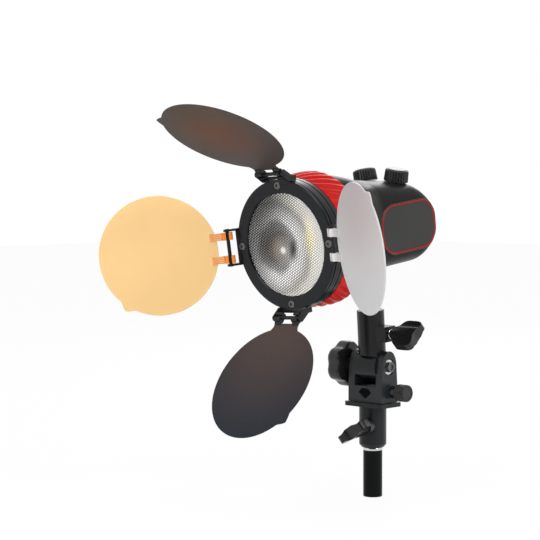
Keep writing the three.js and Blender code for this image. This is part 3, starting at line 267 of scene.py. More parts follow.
finishes = {name: finish(name, *row) for name, row in FINISHES.items()}
# The LED's small dome glows: a painted highlight, the bright spot of light on the chip's dome.
finishes["led_dome"] = finish(
    "led_dome", (0.95, 0.93, 0.85), 0.1, grain=(0.04, 1.0), Emission_Color=(1, 0.97, 0.9, 1),
    Emission_Strength=6.0)
finishes["lens_glass"] = finish(
    "lens_glass", (0.96, 0.98, 0.98), 0.02, Transmission_Weight=1.0, IOR=1.45)
print(len(finishes), "finishes")

# %% [markdown]
# ## Finishes that change across a piece
#
# A leaf isn't one even tone: its colour goes slowly from the hinge to the rim. Part of that is the
# room that the sheet mirrors softly, so the change is partly painted reflection and painted shade.
# It is drawn into the colour here, by the distance from a spot of the piece in Object coordinates,
# so it stays with the leaf when the leaf turns.

# %% A helper for a finish that changes slowly across a piece
def toned(name, near, far, spot, reach, *settings):
    """A finish that goes from one colour at a spot of the piece to another at some distance."""
    material = finish(name, near, *settings)
    nodes = Wiring(material.node_tree)
    gap = nodes.vectors("DISTANCE", nodes.put("ShaderNodeTexCoord", {}, "Object"), spot, "Value")
    span = {"Value": gap, "From Max": reach * MM}
    share = nodes.put("ShaderNodeMapRange", span, interpolation_type="SMOOTHSTEP")
    tone = nodes.banded(share, [(0, near), (1, far)])
    nodes.wire(material.node_tree.nodes["Principled BSDF"], {"Base Color": tone})
    return material


# %% [markdown]
# ## Shapes
#
# Most pieces of a lamp are turned, extruded or lofted. The helpers below return plain lists of
# points and faces in millimetres: a turned profile round the Y axis, which is the lamp's own axis,
# a slab of any outline, and a skin drawn over a row of rings.

# %% Turned, extruded and lofted shapes
ON_AXIS = 1e-6


def turned(profile, steps):
    """Points and faces of a closed profile of (radius, height) turned round the Y axis."""
    points, rows = [], []
    for radius, height in profile:
        if radius < ON_AXIS:
            rows.append([len(points)])
            points.append((0, height, 0))
            continue
        rows.append(list(range(len(points), len(points) + steps)))
        for i in range(steps):
            angle = 2 * math.pi * i / steps
            points.append((radius * math.sin(angle), height, radius * math.cos(angle)))
    faces = []
    for row, following in zip(rows, rows[1:] + rows[:1]):
        if len(row) == 1 and len(following) == 1:
            continue
        for i in range(steps):
            j = (i + 1) % steps
            if len(row) == 1:
                faces.append((row[0], following[j], following[i]))
            elif len(following) == 1:
                faces.append((row[i], row[j], following[0]))
            else:
                faces.append((row[i], row[j], following[j], following[i]))
    return points, faces


def slab(outline, low, high, plane="xy"):
    """Points and faces of an outline pushed from low to high, square to its own plane."""
    place_point = {
        "xy": lambda a, b, c: (a, b, c),
        "yz": lambda a, b, c: (c, a, b),
        "xz": lambda a, b, c: (a, c, b),
    }[plane]
    count = len(outline)
    points = [place_point(a, b, level) for level in (low, high) for a, b in outline]
    faces = [tuple(range(count)), tuple(range(2 * count - 1, count - 1, -1))]
    faces += [(i, i + count, (i + 1) % count + count, (i + 1) % count) for i in range(count)]
    return points, faces


def lofted(rings, close_start=True, close_end=True):
    """Points and faces of a skin over rings that all have the same number of points."""
    around = len(rings[0])
    points = [point for ring in rings for point in ring]
    faces = []
    for row in range(len(rings) - 1):
        for i in range(around):
            a, b = row * around + i, row * around + (i + 1) % around
            faces.append((a, b, b + around, a + around))
    if close_start:
        faces.append(tuple(range(around - 1, -1, -1)))
    if close_end:
        faces.append(tuple(range((len(rings) - 1) * around, len(rings) * around)))
    return points, faces


def block(low, high):
    """A box between two of its corners."""
    outline = [(low[0], low[1]), (high[0], low[1]), (high[0], high[1]), (low[0], high[1])]
    return slab(outline, low[2], high[2])


def disc(radius, low, high, axis="y", steps=64):
    """A round bar along an axis."""
    points, faces = turned([(0, low), (radius, low), (radius, high), (0, high)], steps)
    turned_to = {"y": Matrix.Identity(4), "x": turn("Z", -90), "z": turn("X", 90)}[axis]
    return [tuple(turned_to @ Vector(p)) for p in points], faces


def hexagon(radius):
    bearings = [math.pi * i / 3 for i in range(6)]
    return [(radius * math.cos(bearing), radius * math.sin(bearing)) for bearing in bearings]


def both_sides(upper):
    """A whole outline from its upper half."""
    return upper + [(x, -y) for x, y in reversed(upper)]


def rounded_outline(width, height, corner, steps=12):
    """A rectangle with round corners."""
    outline = []
    for quarter, (x, y) in enumerate(((1, 1), (-1, 1), (-1, -1), (1, -1))):
        middle_x, middle_y = x * (width / 2 - corner), y * (height / 2 - corner)
        for i in range(steps + 1):
            angle = math.pi / 2 * (quarter + i / steps)
            across, along = corner * math.cos(angle), corner * math.sin(angle)
            outline.append((middle_x + across, middle_y + along))
    return outline


def shifted(shape, dx=0, dy=0, dz=0, matrix=None):
    """A shape turned by a matrix, where one is given, and then moved."""
    points, faces = shape
    out = [Vector(p) if matrix is None else matrix @ Vector(p) for p in points]
    return [(p.x + dx, p.y + dy, p.z + dz) for p in out], faces


def mirrored(shape):
    points, faces = shape
    return [(-x, y, z) for x, y, z in points], faces


# %% [markdown]
# ## From a shape to a finished piece
#
# A real part has no razor edge, so each piece gets small round edges from a Bevel modifier. Shapes
# are joined or cut with exact Booleans first. The result is made a plain mesh, smooth where it is
# curved and crisp where it turns a corner, and its points are moved to the place where it stands.

# %% Helpers that make, cut and finish a piece
WELD_DISTANCE = 1e-7
NORMAL_WEIGHT = 60


def mesh_object(name, shape):
    """A new object whose mesh is the shape, in metres, in the piece's own frame."""
    points, faces = shape
    mesh = bpy.data.meshes.new(name)
    mesh.from_pydata([(x * MM, y * MM, z * MM) for x, y, z in points], [], faces)
    work = bmesh.new()
    work.from_mesh(mesh)
    bmesh.ops.remove_doubles(work, verts=work.verts, dist=WELD_DISTANCE)
    bmesh.ops.recalc_face_normals(work, faces=work.faces)
    work.to_mesh(mesh)
    work.free()
    return linked(name, mesh)


def settle(piece):
    """Turns an object's modifiers into its mesh."""
    graph = bpy.context.evaluated_depsgraph_get()
    graph.update()
    mesh = bpy.data.meshes.new_from_object(piece.evaluated_get(graph))
    piece.modifiers.clear()
    piece.data = mesh
    return piece


def combined(piece, shapes, operation):
    """Joins shapes to a piece, or cuts them from it, one after another."""
    for i, shape in enumerate(shapes):
        tool = mesh_object(f"{piece.name}_tool_{i}", shape)
        modifier = piece.modifiers.new("combine", "BOOLEAN")
        modifier.operation, modifier.object, modifier.solver = operation, tool, "EXACT"
        settle(piece)
        bpy.data.objects.remove(tool)
    return piece


def edged(piece, width, segments=2, angle=35):
    """Rounds the sharp edges of a piece."""
    modifier = piece.modifiers.new("edges", "BEVEL")
    modifier.width, modifier.segments = width * MM, segments
    modifier.limit_method, modifier.angle_limit = "ANGLE", math.radians(angle)
    modifier.use_clamp_overlap = True
    return settle(piece)


def seated(piece, matrix, body, finish_name, *nodes, sharp=30, slot=None):
    """Moves a piece's mesh to its place, gives it its finish and hands it to its body."""
    piece.data.transform(matrix)
    piece.data.materials.clear()
    piece.data.materials.append(finishes[finish_name])
    piece.data.shade_smooth()
    piece.data.set_sharp_from_angle(angle=math.radians(sharp))
    modifier = piece.modifiers.new("normals", "WEIGHTED_NORMAL")
    modifier.keep_sharp, modifier.weight = True, NORMAL_WEIGHT
    settle(piece)
    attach(piece, body)
    slot or finish_name
    if nodes:
        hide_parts(*nodes)
    return piece


def turned_piece(node, profile, steps, *seat, **settings):
    """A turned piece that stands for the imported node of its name."""
    return seated(mesh_object(f"{node}_skin", turned(profile, steps)), *seat, node, **settings)


def built_piece(node, shape, joined, cut, edge, *seat, **settings):
    """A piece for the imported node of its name, of shapes joined and cut, with round edges."""
    piece = mesh_object(f"{node}_skin", shape)
    combined(piece, joined, "UNION")
    combined(piece, cut, "DIFFERENCE")
    edged(piece, *edge)
    return seated(piece, *seat, node, **settings)


# %% [markdown]
# ## Geometry Nodes
#
# Three small trees do the work that follows a rule. One presses flutes into a drum, straight or
# running round like a thread. One sets copies round the lamp's axis, and one sets them in a row.
# Each ends by making its instances real and setting the finish.

# %% A helper that builds a tree with named inputs
def new_tree(name, **sizes):
    """An empty tree with a geometry input and output, and one named float input for each size."""
    tree = bpy.data.node_groups.new(name, "GeometryNodeTree")
    sockets = [("Geometry", "INPUT", "Geometry"), *[(size, "INPUT", "Float") for size in sizes]]
    sockets += [("Finish", "INPUT", "Material"), ("Geometry", "OUTPUT", "Geometry")]
    for label, way, kind in sockets:
        socket = tree.interface.new_socket(label, in_out=way, socket_type=f"NodeSocket{kind}")
        if label in sizes:
            socket.default_value = sizes[label]
    return tree, Wiring(tree), tree.nodes.new("NodeGroupInput").outputs


def close_tree(nodes, given, geometry):
    """Ends a tree: its instances are made real, and the finish is set."""
    real = nodes.put("GeometryNodeRealizeInstances", {"Geometry": geometry})
    painted = nodes.put("GeometryNodeSetMaterial", {"Geometry": real, "Material": given["Finish"]})
    nodes.wire(nodes.tree.nodes.new("NodeGroupOutput"), {"Geometry": painted})


def apply_tree(piece, tree, finish_name, **sizes):
    """Runs a tree on a piece and keeps the result as the piece's mesh."""
    modifier = piece.modifiers.new(tree.name, "NODES")
    modifier.node_group = tree
    for socket in tree.interface.items_tree:
        if socket.item_type != "SOCKET" or socket.in_out != "INPUT":
            continue
        if socket.name in sizes:
            modifier[socket.identifier] = float(sizes[socket.name])
        if socket.name == "Finish":
            modifier[socket.identifier] = finishes[finish_name]
    return settle(piece)


# %% The flute tree
flute_tree, nodes, given = new_tree("flutes", Count=30.0, Depth=0.0015, Twist=0.0, Sharpness=1.0)
put, sums = nodes.put, nodes.sums
position = put("GeometryNodeInputPosition", {})
x, y, z = (put("ShaderNodeSeparateXYZ", {0: position}, axis) for axis in "XYZ")
twisted = sums("SUBTRACT", sums("ARCTAN2", x, z), sums("MULTIPLY", y, given["Twist"]))
wave = sums("COSINE", sums("MULTIPLY", twisted, given["Count"]))
hollow = sums("POWER", sums("MULTIPLY", sums("SUBTRACT", 1.0, wave), 0.5), given["Sharpness"])
share = put("GeometryNodeInputNamedAttribute", {"Name": "flute_share"}, data_type="FLOAT")
press = sums("MULTIPLY", sums("MULTIPLY", hollow, share), given["Depth"])
outwards = put("ShaderNodeCombineXYZ", {"X": x, "Z": z})
direction = put("ShaderNodeVectorMath", {0: outwards}, operation="NORMALIZE")
inwards = sums("MULTIPLY", press, -1.0)
step_in = put("ShaderNodeVectorMath", {0: direction, "Scale": inwards}, operation="SCALE")
pressed = put("GeometryNodeSetPosition", {"Geometry": given["Geometry"], "Offset": step_in})
close_tree(nodes, given, pressed)

# %% The tree that sets copies round the axis
round_tree, nodes, given = new_tree("copies_round_axis", Count=4.0)
spots = nodes.put("GeometryNodeMeshLine", {"Count": given["Count"], "Offset": (0.0, 0.0, 0.0)})
step = nodes.sums("DIVIDE", 2 * math.pi, given["Count"])
heading = nodes.sums("MULTIPLY", nodes.put("GeometryNodeInputIndex", {}), step)
spin = nodes.put("ShaderNodeCombineXYZ", {"Y": heading})
close_tree(nodes, given, nodes.put("GeometryNodeInstanceOnPoints", {
    "Points": spots, "Instance": given["Geometry"], "Rotation": spin,
}))

# %% The tree that sets copies in a row
row_tree, nodes, given = new_tree("copies_in_row", Count=5.0, Step_X=0.001)
stride = nodes.put("ShaderNodeCombineXYZ", {"X": given["Step_X"]})
spots = nodes.put("GeometryNodeMeshLine", {"Count": given["Count"], "Offset": stride})
close_tree(nodes, given, nodes.put("GeometryNodeInstanceOnPoints", {
    "Points": spots, "Instance": given["Geometry"],
}))
print("trees:", [tree.name for tree in bpy.data.node_groups])


# %% A turned piece with flutes
def fluted_piece(node, profile, steps, seat, sharp, **flutes):
    """A turned piece whose profile points (radius, height, share) say how deep its flutes run."""
    shape = turned([(radius, height) for radius, height, _ in profile], steps)
    piece = mesh_object(f"{node}_skin", shape)
    shares = piece.data.attributes.new("flute_share", "FLOAT", "POINT")
    for vertex, value in zip(piece.data.vertices, shares.data):
        radius = math.hypot(vertex.co.x, vertex.co.z) / MM
        height = vertex.co.y / MM
        value.value = min(((radius - r) ** 2 + (height - h) ** 2, s) for r, h, s in profile)[1]
    apply_tree(piece, flute_tree, seat[-1], **flutes)
    return seated(piece, *seat, node, sharp=sharp)


# %% [markdown]
# ## Riser tube and stud
#
# The lamp's bracket sits on the top tube of a stand. The tube is painted black, and the bright
# collar of the stud shows as a thin silver line between the tube and the socket. Both are turned.

# %% Riser tube and stud
tube = turned_piece("riser_tube", [
    (8.3, 0.3), (8.6, 0), (9.2, 0), (9.5, 0.3), (9.5, 45.3), (9.2, 45.6), (8.3, 45.6),
], 96, upright, "riser", "riser_paint", slot="black_paint")
turned_piece("riser_stud", [
    (0, 24), (8.0, 24), (8.0, 45.9), (9.0, 45.9), (9.5, 46.2), (9.7, 46.8), (9.7, 48.0),
    (9.5, 48.6), (9.0, 48.9), (7.9, 48.9), (7.9, 64.7), (6.8, 65.8), (6.8, 75.6), (7.9, 76.7),
    (7.9, 83.9), (6.9, 84.9), (0, 84.9),
], 96, upright, "riser", "chrome")
print("riser", [round(v, 3) for v in tube.dimensions])

# %% [markdown]
# ## Lower socket and yoke
#
# Both are die castings with a satin black coat. The socket is a tube with a round boss for the
# clamp screw and a flange on top, and the yoke is a block with two cheeks that hold the barrel of
# the upper socket. Joined slabs with rounded edges read as one casting.

# %% Lower socket
STUD_BORE = 8.2
SCREW_BORE = 3.3
PIVOT_BORE = 4.3
LOWER_SCREW = SimpleNamespace(height=70.7, turn=19, handle=36)
UPPER_SCREW = SimpleNamespace(height=33, handle=41)
swing = turn("Z", LOWER_SCREW.turn)
tube_shape = shifted(turned([
    (0, 49.2), (10.9, 49.2), (11.3, 49.3), (13.5, 52.2), (13.5, 90.5), (0, 90.5),
], 96), matrix=upright)
built_piece("lower_socket", tube_shape, [
    shifted(disc(8.0, -24.5, 0, "y", 64), dz=LOWER_SCREW.height, matrix=swing),
    slab(rounded_outline(48, 32, 3), 89.8, 94.0),
], [
    disc(STUD_BORE, 45, 88.8, "z"),
    shifted(disc(SCREW_BORE, -30, 0, "y", 32), dz=LOWER_SCREW.height, matrix=swing),
], (0.6, 3), stand_frame, "bracket", "black_paint")

# %% Yoke
YOKE_FOOT = 94.3
YOKE_FLOOR = YOKE_FOOT + 16
UMBRELLA_HEIGHT = 105.5
arch = [math.pi * i / 32 for i in range(33)]
cheek = [
    (-12, YOKE_FOOT), (12, YOKE_FOOT), (12, YOKE_FLOOR),
    *[(10.6 * math.cos(angle), PIVOT_HEIGHT + 15.5 * math.sin(angle)) for angle in arch],
    (-12, YOKE_FLOOR),
]
yoke = mesh_object("yoke_skin", slab(cheek, -21.5, 21.5, "yz"))
combined(yoke, [shifted(disc(7, 20, 24.5, "x", 48), dz=UMBRELLA_HEIGHT)], "UNION")
hole = [
    (-7.9, 0), (-7.4, 1.2), (-4.9, 4.1), (-3.6, 4.6), (3.6, 4.6), (4.9, 4.1), (7.4, 1.2), (7.9, 0),
    (0.5, -5.7), (-0.5, -5.7),
]
combined(yoke, [
    block((-13.8, -30, YOKE_FLOOR), (13.8, 30, 180)),
    shifted(disc(7.9, 19.1, 40, "x", 64), dz=PIVOT_HEIGHT),
    shifted(disc(PIVOT_BORE, -40, 40, "x", 48), dz=PIVOT_HEIGHT),
    shifted(disc(SCREW_BORE, 0, 40, "x", 32), dz=UMBRELLA_HEIGHT),
    shifted(slab(hole, -30, 30, "xz"), dz=UMBRELLA_HEIGHT - 2),
], "DIFFERENCE")
combined(yoke, [block((-14, 8, YOKE_FOOT + 15.7), (14, 12, YOKE_FOOT + 22.4))], "UNION")
edged(yoke, 0.7, 3)
# The yoke's finish is the black paint made lighter: painted light, where more light falls on it.
seated(yoke, stand_frame, "bracket", "black_paint_lit", "yoke", slot="black_paint")
print("castings done")

# %% [markdown]
# ## Pivot bolt, washer and tilt knob
#
# The bolt's bright head and washer sit in a round recess of the near cheek. The big knob on the far
# side locks the tilt: it is moulded, with six soft lobes that the flute tree presses in.

# %% Pivot bolt and washer
built_piece("pivot_bolt", slab(hexagon(5.6), 20.7, 24.1, "yz"), [disc(4.0, -37, 21, "x", 48)],
            [disc(3.2, 22.6, 30, "x", 6)], (0.4, 2), pivot_frame, "bracket", "dark_steel")
turned_piece("pivot_washer", [
    (4.4, 19.4), (7.2, 19.4), (7.4, 19.6), (7.4, 20.2), (7.2, 20.4), (4.4, 20.4),
], 64, pivot_frame @ along_x, "bracket", "steel")

# %% Tilt knob
fluted_piece("tilt_lock_knob", [
    (4.3, 21.8, 0), (9.2, 21.8, 0), (9.5, 22.1, 0), (9.5, 26.5, 0), (19.5, 26.5, 0.8),
    (21.6, 27.1, 0.9), (22.6, 28.6, 1), (22.8, 31, 1), (22.8, 38, 1), (22.4, 40.6, 1),
    (21, 42.2, 0.9), (18.6, 43, 0.8), (10, 43, 0), (9.4, 42.4, 0), (0, 42.4, 0), (0, 38, 0),
    (4.3, 38, 0),
], 240, (pivot_frame @ turn("Z", 90), "tilt_lock", "gloss_black"), 40,
    Count=6, Depth=2.6 * MM, Sharpness=1.4)

# %% [markdown]
# ## Clamp screws and handles
#
# Two clamp screws end in T handles. A handle is a flat moulding with two wings: one outline gives
# its face, another its side, and what both share is the handle.

# %% A clamp handle and its screw
HANDLE_FACE = both_sides([
    (29.0, 5.6), (29.4, 5.9), (31.5, 6.0), (33.2, 7.2), (34.6, 10.2), (36.4, 13.2), (39, 15.0),
    (42, 15.6), (50, 15.6), (54, 15.3), (56.6, 14.2), (58, 12.0), (57.4, 6), (56.6, 2.5),
])
HANDLE_SIDE = both_sides([
    (-20, 3.7), (-13, 3.7), (-9.5, 3.8), (-6.5, 4.8), (-4, 5.8), (4, 5.8), (6.5, 4.8), (9.5, 3.8),
    (13, 3.7), (20, 3.7),
])


def clamp(body, matrix):
    """A handle, fullest at its screw and thinner out along the wings, and the screw itself."""
    handle = mesh_object(f"{body}_handle_skin", slab(HANDLE_FACE, -12, 12))
    combined(handle, [slab(HANDLE_SIDE, 20, 65, "yz")], "INTERSECT")
    combined(handle, [disc(5.9, 29.0, 33, "x", 48)], "UNION")
    combined(handle, [disc(SCREW_BORE, 20, 40, "x", 32)], "DIFFERENCE")
    edged(handle, 1.1, 3)
    seated(handle, matrix, body, "gloss_black", f"{body}_handle", sharp=45)
    turned_piece(f"{body}_screw", [
        (0, 7.1), (2.5, 7.1), (3, 7.6), (3, 24.8), (4.5, 24.8), (4.8, 25.1), (4.8, 26.1),
        (4.5, 26.4), (3, 26.4), (3, 39.5), (2.6, 40), (0, 40),
    ], 64, matrix @ along_x, body, "steel")


lower_place = move(0, 0, LOWER_SCREW.height) @ turn("Z", LOWER_SCREW.turn - 90)
clamp("lower_clamp", lower_place @ turn("X", LOWER_SCREW.handle))
upper_place = head_frame @ move(0, 0, UPPER_SCREW.height)
clamp("upper_clamp", upper_place @ turn("X", UPPER_SCREW.handle))

# %% Umbrella screw with its fluted knob
umbrella_place = move(0, 0, UMBRELLA_HEIGHT) @ along_x
fluted_piece("umbrella_screw_knob", [
    (3.3, 24.8, 0), (5.8, 24.8, 0), (6, 25, 0), (6, 32.4, 0), (7.7, 32.8, 0), (8.3, 33.4, 1),
    (8.4, 34.2, 1), (8.4, 38, 1), (8.4, 43.3, 1), (8.3, 44, 1), (7.7, 44.5, 0), (6.3, 44.5, 0),
    (5.9, 43.9, 0), (0, 43.9, 0), (0, 38.5, 0), (3.3, 38.5, 0),
], 216, (umbrella_place, "umbrella_clamp", "gloss_black"), 50,
    Count=24, Depth=0.7 * MM, Sharpness=1.5)
turned_piece("umbrella_screw", [
    (0, 7.6), (2.5, 7.6), (3, 8.1), (3, 38.2), (0, 38.2),
], 48, umbrella_place, "umbrella_clamp", "steel")
print("clamps done")

# %% [markdown]
# ## Upper socket
#
# The upper socket is one casting with the barrel that turns between the cheeks. Its clamp screw
# points to the side where the user stands.

# %% Upper socket
built_piece("upper_socket", disc(13.7, -13.6, 13.6, "x", 96), [
    disc(13.5, 12.4, 55.5, "z", 96),
    block((-13.4, -8.5, 0), (13.4, 8.5, 13.4)),
    block((0, -7.5, 25.5), (24.5, 7.5, 40.5)),
], [
    disc(PIVOT_BORE, -20, 20, "x", 48),
    disc(STUD_BORE, 22, 60, "z", 96),
    shifted(disc(SCREW_BORE, 0, 30, "x", 32), dz=UPPER_SCREW.height),
], (0.6, 3), head_frame, "head", "black_paint")

# %% Spigot under the lamp
turned_piece("lamp_spigot", [
    (0, 22.6), (6.9, 22.6), (7.9, 23.6), (7.9, 27), (6.8, 28.1), (6.8, 37.9), (7.9, 39),
    (7.9, 79.7), (9.6, 79.7), (10, 80.1), (10, 83.3), (9.6, 83.7), (3, 83.7), (3, 90), (0, 90),
], 96, head_frame @ upright, "lamp", "steel")

# %% [markdown]
# ## The moulded housing
#
# The housing is round where it meets the focus ring and becomes a soft square towards the rear,
# where it rounds off. Its sections are superellipses whose size and squareness change along the
# lamp, with a low crown on top. A skin drawn over many of them, close together, has no facets.
# It is split in two halves with a fine seam, like the real shell.

# %% Sections of the housing
# Places along the lamp count from the ring's face. The sizes from "round" on are half heights and
# half widths of the sections, and the roundings are the lengths over which the rear closes.
HOUSING = SimpleNamespace(
    start=45, split=88, seam=0.3, taper_end=97, back=143, knob=144, last=176.85, end=177,
    round=60.4, shoulder=48.6, top=42.2, bottom=40.2, half_width=42, end_width=0.84,
    squareness=5.5, crown=6, rear_centre=-3, top_rounding=34, bottom_rounding=28,
    side_rounding=6, points=144,
)


def ease(share):
    return share * share * (3 - 2 * share)


def mix(low, high, share):
    return low + (high - low) * share


def share_between(value, low, high):
    return min(1, max(0, (value - low) / (high - low)))


def housing_ring(along):
    """One section of the housing at a distance behind the ring's face."""
    taper = ease(share_between(along, HOUSING.start, HOUSING.taper_end))
    fall = share_between(along, HOUSING.taper_end, HOUSING.knob)

    def rounding(length):
        share = max(0, (along - (HOUSING.end - length)) / length)
        return math.sqrt(max(0, 1 - share * share))

    middle = HOUSING.rear_centre
    high_side = mix(HOUSING.round, mix(HOUSING.shoulder, HOUSING.top, fall), taper) - middle
    top = middle + high_side * rounding(HOUSING.top_rounding)
    low_side = mix(HOUSING.round, HOUSING.bottom, taper) + middle
    bottom = middle - low_side * rounding(HOUSING.bottom_rounding)
    half = mix(HOUSING.round, HOUSING.half_width, taper)
    half *= mix(HOUSING.end_width, 1, rounding(HOUSING.side_rounding))
    power, crown = mix(2, HOUSING.squareness, taper), HOUSING.crown / HOUSING.top * taper
    ring = []
    for i in range(HOUSING.points):
        angle = 2 * math.pi * i / HOUSING.points
        c, s = math.cos(angle), math.sin(angle)
        x = math.copysign(abs(c) ** (2 / power), c)
        height = -bottom if s < 0 else top
        z = math.copysign(abs(s) ** (2 / power), s) * (1 - crown * x * x)
        ring.append((x * half, along, z * height))
    return ring


def stations(start, end, steps=24):
    return [start + (end - start) * i / steps for i in range(steps + 1)]


# %% Half of the shell
SHELL_WALL = 2.6


def shell(node, places, close_end, spaces, edge):
    """A skin over the sections at some places, given its wall inwards and then cut."""
    rings = [housing_ring(place) for place in places]
    piece = mesh_object(f"{node}_skin", lofted(rings, False, close_end))
    work = bmesh.new()
    work.from_mesh(piece.data)
    outwards = 0
    for face in work.faces:
        middle = face.calc_center_median()
        outwards += face.normal.dot(Vector((middle.x, 0, middle.z)))
    if outwards < 0:
        bmesh.ops.reverse_faces(work, faces=work.faces)
    work.to_mesh(piece.data)
    work.free()
    modifier = piece.modifiers.new("wall", "SOLIDIFY")
    modifier.thickness, modifier.offset = SHELL_WALL * MM, -1
    combined(settle(piece), spaces, "DIFFERENCE")
    edged(piece, edge, 2, 50)
    seated(piece, lamp_frame, "lamp", "black_plastic", node, sharp=40)
    print(node, len(piece.data.polygons), "faces")


cone_stations = stations(HOUSING.start, HOUSING.split)
shell("housing_cone", cone_stations, False, [disc(58.3, 40, 46.8, "y", 144)], 0.35)

# %% Panel pockets, knob seats, vents and the rear socket's recess
PANEL = SimpleNamespace(start=90, length=82, height=49.5, corner=19.5, middle=-0.7)
KNOB = SimpleNamespace(side=19, splay=11.5, rake=4.5, seat=40.877)
VENT = SimpleNamespace(count=4, start=137, step=6, width=3, near=3, far=19)


def panel_outline(grow):
    width, height = PANEL.length + 2 * grow, PANEL.height + 2 * grow
    outline = rounded_outline(width, height, PANEL.corner + grow, 16)
    return [(y + PANEL.start + PANEL.length / 2, z + PANEL.middle) for y, z in outline]


def knob_frame(side):
    place_there = move(side * KNOB.side, HOUSING.knob, KNOB.seat)
    return place_there @ turn("Y", side * KNOB.splay) @ turn("X", -KNOB.rake)


pocket = slab(panel_outline(0.3), 40.5, 50, "yz")
spaces = [pocket, mirrored(pocket)]
for side in (1, -1):
    seat = knob_frame(side)
    seat.translation /= MM  # the shapes that it moves are still in millimetres
    spaces.append(shifted(disc(4.5, -12, 2, "z", 48), matrix=seat))
    spaces.append(shifted(disc(12.6, 0, 12, "z", 96), matrix=seat))
for radius, depth in ((5.9, 164), (7.5, 175.4)):
    spaces.append(shifted(disc(radius, depth, 181, "y", 64), dz=HOUSING.rear_centre))
for i in range(VENT.count):
    start = VENT.start + VENT.step * i
    slot = block((VENT.near, start, -50), (VENT.far, start + VENT.width, -20))
    spaces += [slot, mirrored(slot)]
rear_stations = stations(HOUSING.split + HOUSING.seam, HOUSING.back)
rounded_end = HOUSING.last - HOUSING.back
rear_stations += [
    HOUSING.back + rounded_end * math.sin(math.pi / 2 * i / 28) for i in range(1, 29)
]
shell("housing_rear", rear_stations, True, spaces, 0.3)

# %% [markdown]
# ## Side panels
#
# Each side carries a smooth dark panel with a thin red line near its edge. The panel is moulded on
# its own and set into a shallow pocket, and the line is a raised bead, so both are built up level
# by level from one outline.

# %% Panels and their red lines
def stacked(levels):
    """A plate built up from outlines that grow or shrink from level to level, as (grow, level)."""
    return lofted([[(level, y, z) for y, z in panel_outline(grow)] for grow, level in levels])


panel_shape = stacked([
    (0, 40.8), (0, 42.0), (-0.3, 42.3), (-1.2, 42.3), (-1.3, 41.7), (-2.5, 41.7), (-2.6, 42.2),
    (-2.8, 42.3),
])
line_shape = stacked([
    (-1.4, 41.75), (-1.4, 42.4), (-1.55, 42.55), (-2.25, 42.55), (-2.4, 42.4), (-2.4, 41.75),
])
for name, sided in (("right", lambda shape: shape), ("left", mirrored)):
    panel = mesh_object(f"side_panel_{name}_skin", sided(panel_shape))
    seated(panel, lamp_frame, "lamp", "panel_plastic", f"side_panel_{name}")
    line = mesh_object(f"side_trim_{name}_skin", sided(line_shape))
    seated(line, lamp_frame, "lamp", "red_plastic", f"side_trim_{name}")

# %% [markdown]
# ## Control knobs
#
# Two gloss black knobs stand on the shell's shoulders, with fine flutes for the fingers and a
# light grey disc let into the top.

# %% Control knobs with their caps
for side, name in ((1, "brightness"), (-1, "colour")):
    knob_place = lamp_frame @ knob_frame(side) @ upright
    fluted_piece(f"{name}_knob", [
        (0, -12.5, 0), (3, -12.5, 0), (3, 0.6, 0), (11.2, 0.6, 0), (11.9, 1, 1), (12, 1.6, 1),
        (11.6, 10.4, 1), (11.3, 11.6, 0.6), (10.7, 12.3, 0.1), (9.9, 12.6, 0), (9.75, 12.4, 0),
        (9.75, 11.8, 0), (0, 11.8, 0),
    ], 288, (knob_place, f"{name}_dial", "gloss_black"), 50,
        Count=26, Depth=1.15 * MM, Sharpness=1.1)
    turned_piece(f"{name}_knob_cap", [
        (0, 11.95), (9.4, 11.95), (9.6, 12.1), (9.6, 12.7), (9.2, 13.1), (8.2, 13.15), (0, 13.15),
    ], 96, knob_place, f"{name}_dial", "grey_plastic")
print("knobs done")

# %% [markdown]
# ## Front barrel and focus ring
#
# Behind the barn-door ring is a black band with turned grooves, then the red focus ring. Its
# flutes run round it at a slant, which the flute tree makes with its twist.

# %% Front barrel
turned_piece("front_barrel", [
    (49.2, 3.6), (49.5, 3.5), (57.0, 3.5), (57.2, 3.7), (57.2, 8.9), (60.5, 8.9), (60.9, 9.3),
    (60.9, 11.5), (60.6, 11.7), (60.1, 11.8), (60.1, 12.9), (60.6, 13.0), (60.9, 13.2),
    (60.9, 17.3), (60.5, 17.7), (58, 17.7), (58, 46.5), (52, 46.5), (52, 5.3), (49.4, 5.3),
    (49.2, 5.2),
], 192, lamp_frame, "lamp", "black_paint")

# %% Focus ring
GRIP = SimpleNamespace(start=18, length=26.6, front=61.4, rear=64.2, belly=1.1, steps=26)


def grip_point(share):
    """A point of the grip's side, with the flutes' share of depth, which fades at both ends."""
    radius = mix(GRIP.front, GRIP.rear, share) + GRIP.belly * 4 * share * (1 - share)
    depth = math.sin(math.pi * (0.02 + 0.96 * share)) ** 0.4
    return radius, GRIP.start + GRIP.length * share, depth


grip_side = [grip_point(i / GRIP.steps) for i in range(GRIP.steps + 1)]
focus_ring = fluted_piece("focus_ring", [
    (58.4, 18.3, 0), (58.8, 18, 0), (61.0, 18, 0), *grip_side, (63.8, 44.6, 0), (58.8, 44.6, 0),
    (58.4, 44.3, 0),
], 768, (lamp_frame, "focus_grip", "red_plastic"), 50,
    Count=40, Depth=1.7 * MM, Twist=math.radians(14) / GRIP.length / MM, Sharpness=1.5)
print("focus ring", len(focus_ring.data.polygons), "faces")

# %% [markdown]
# ## Barn-door ring
#
# The ring is turned from metal and painted blue-black, and a chamfer at its rim catches light. Four
# screws, four hinge brackets and four pins repeat round it, so each is drawn once, at the top, and
# the tree sets the copies.

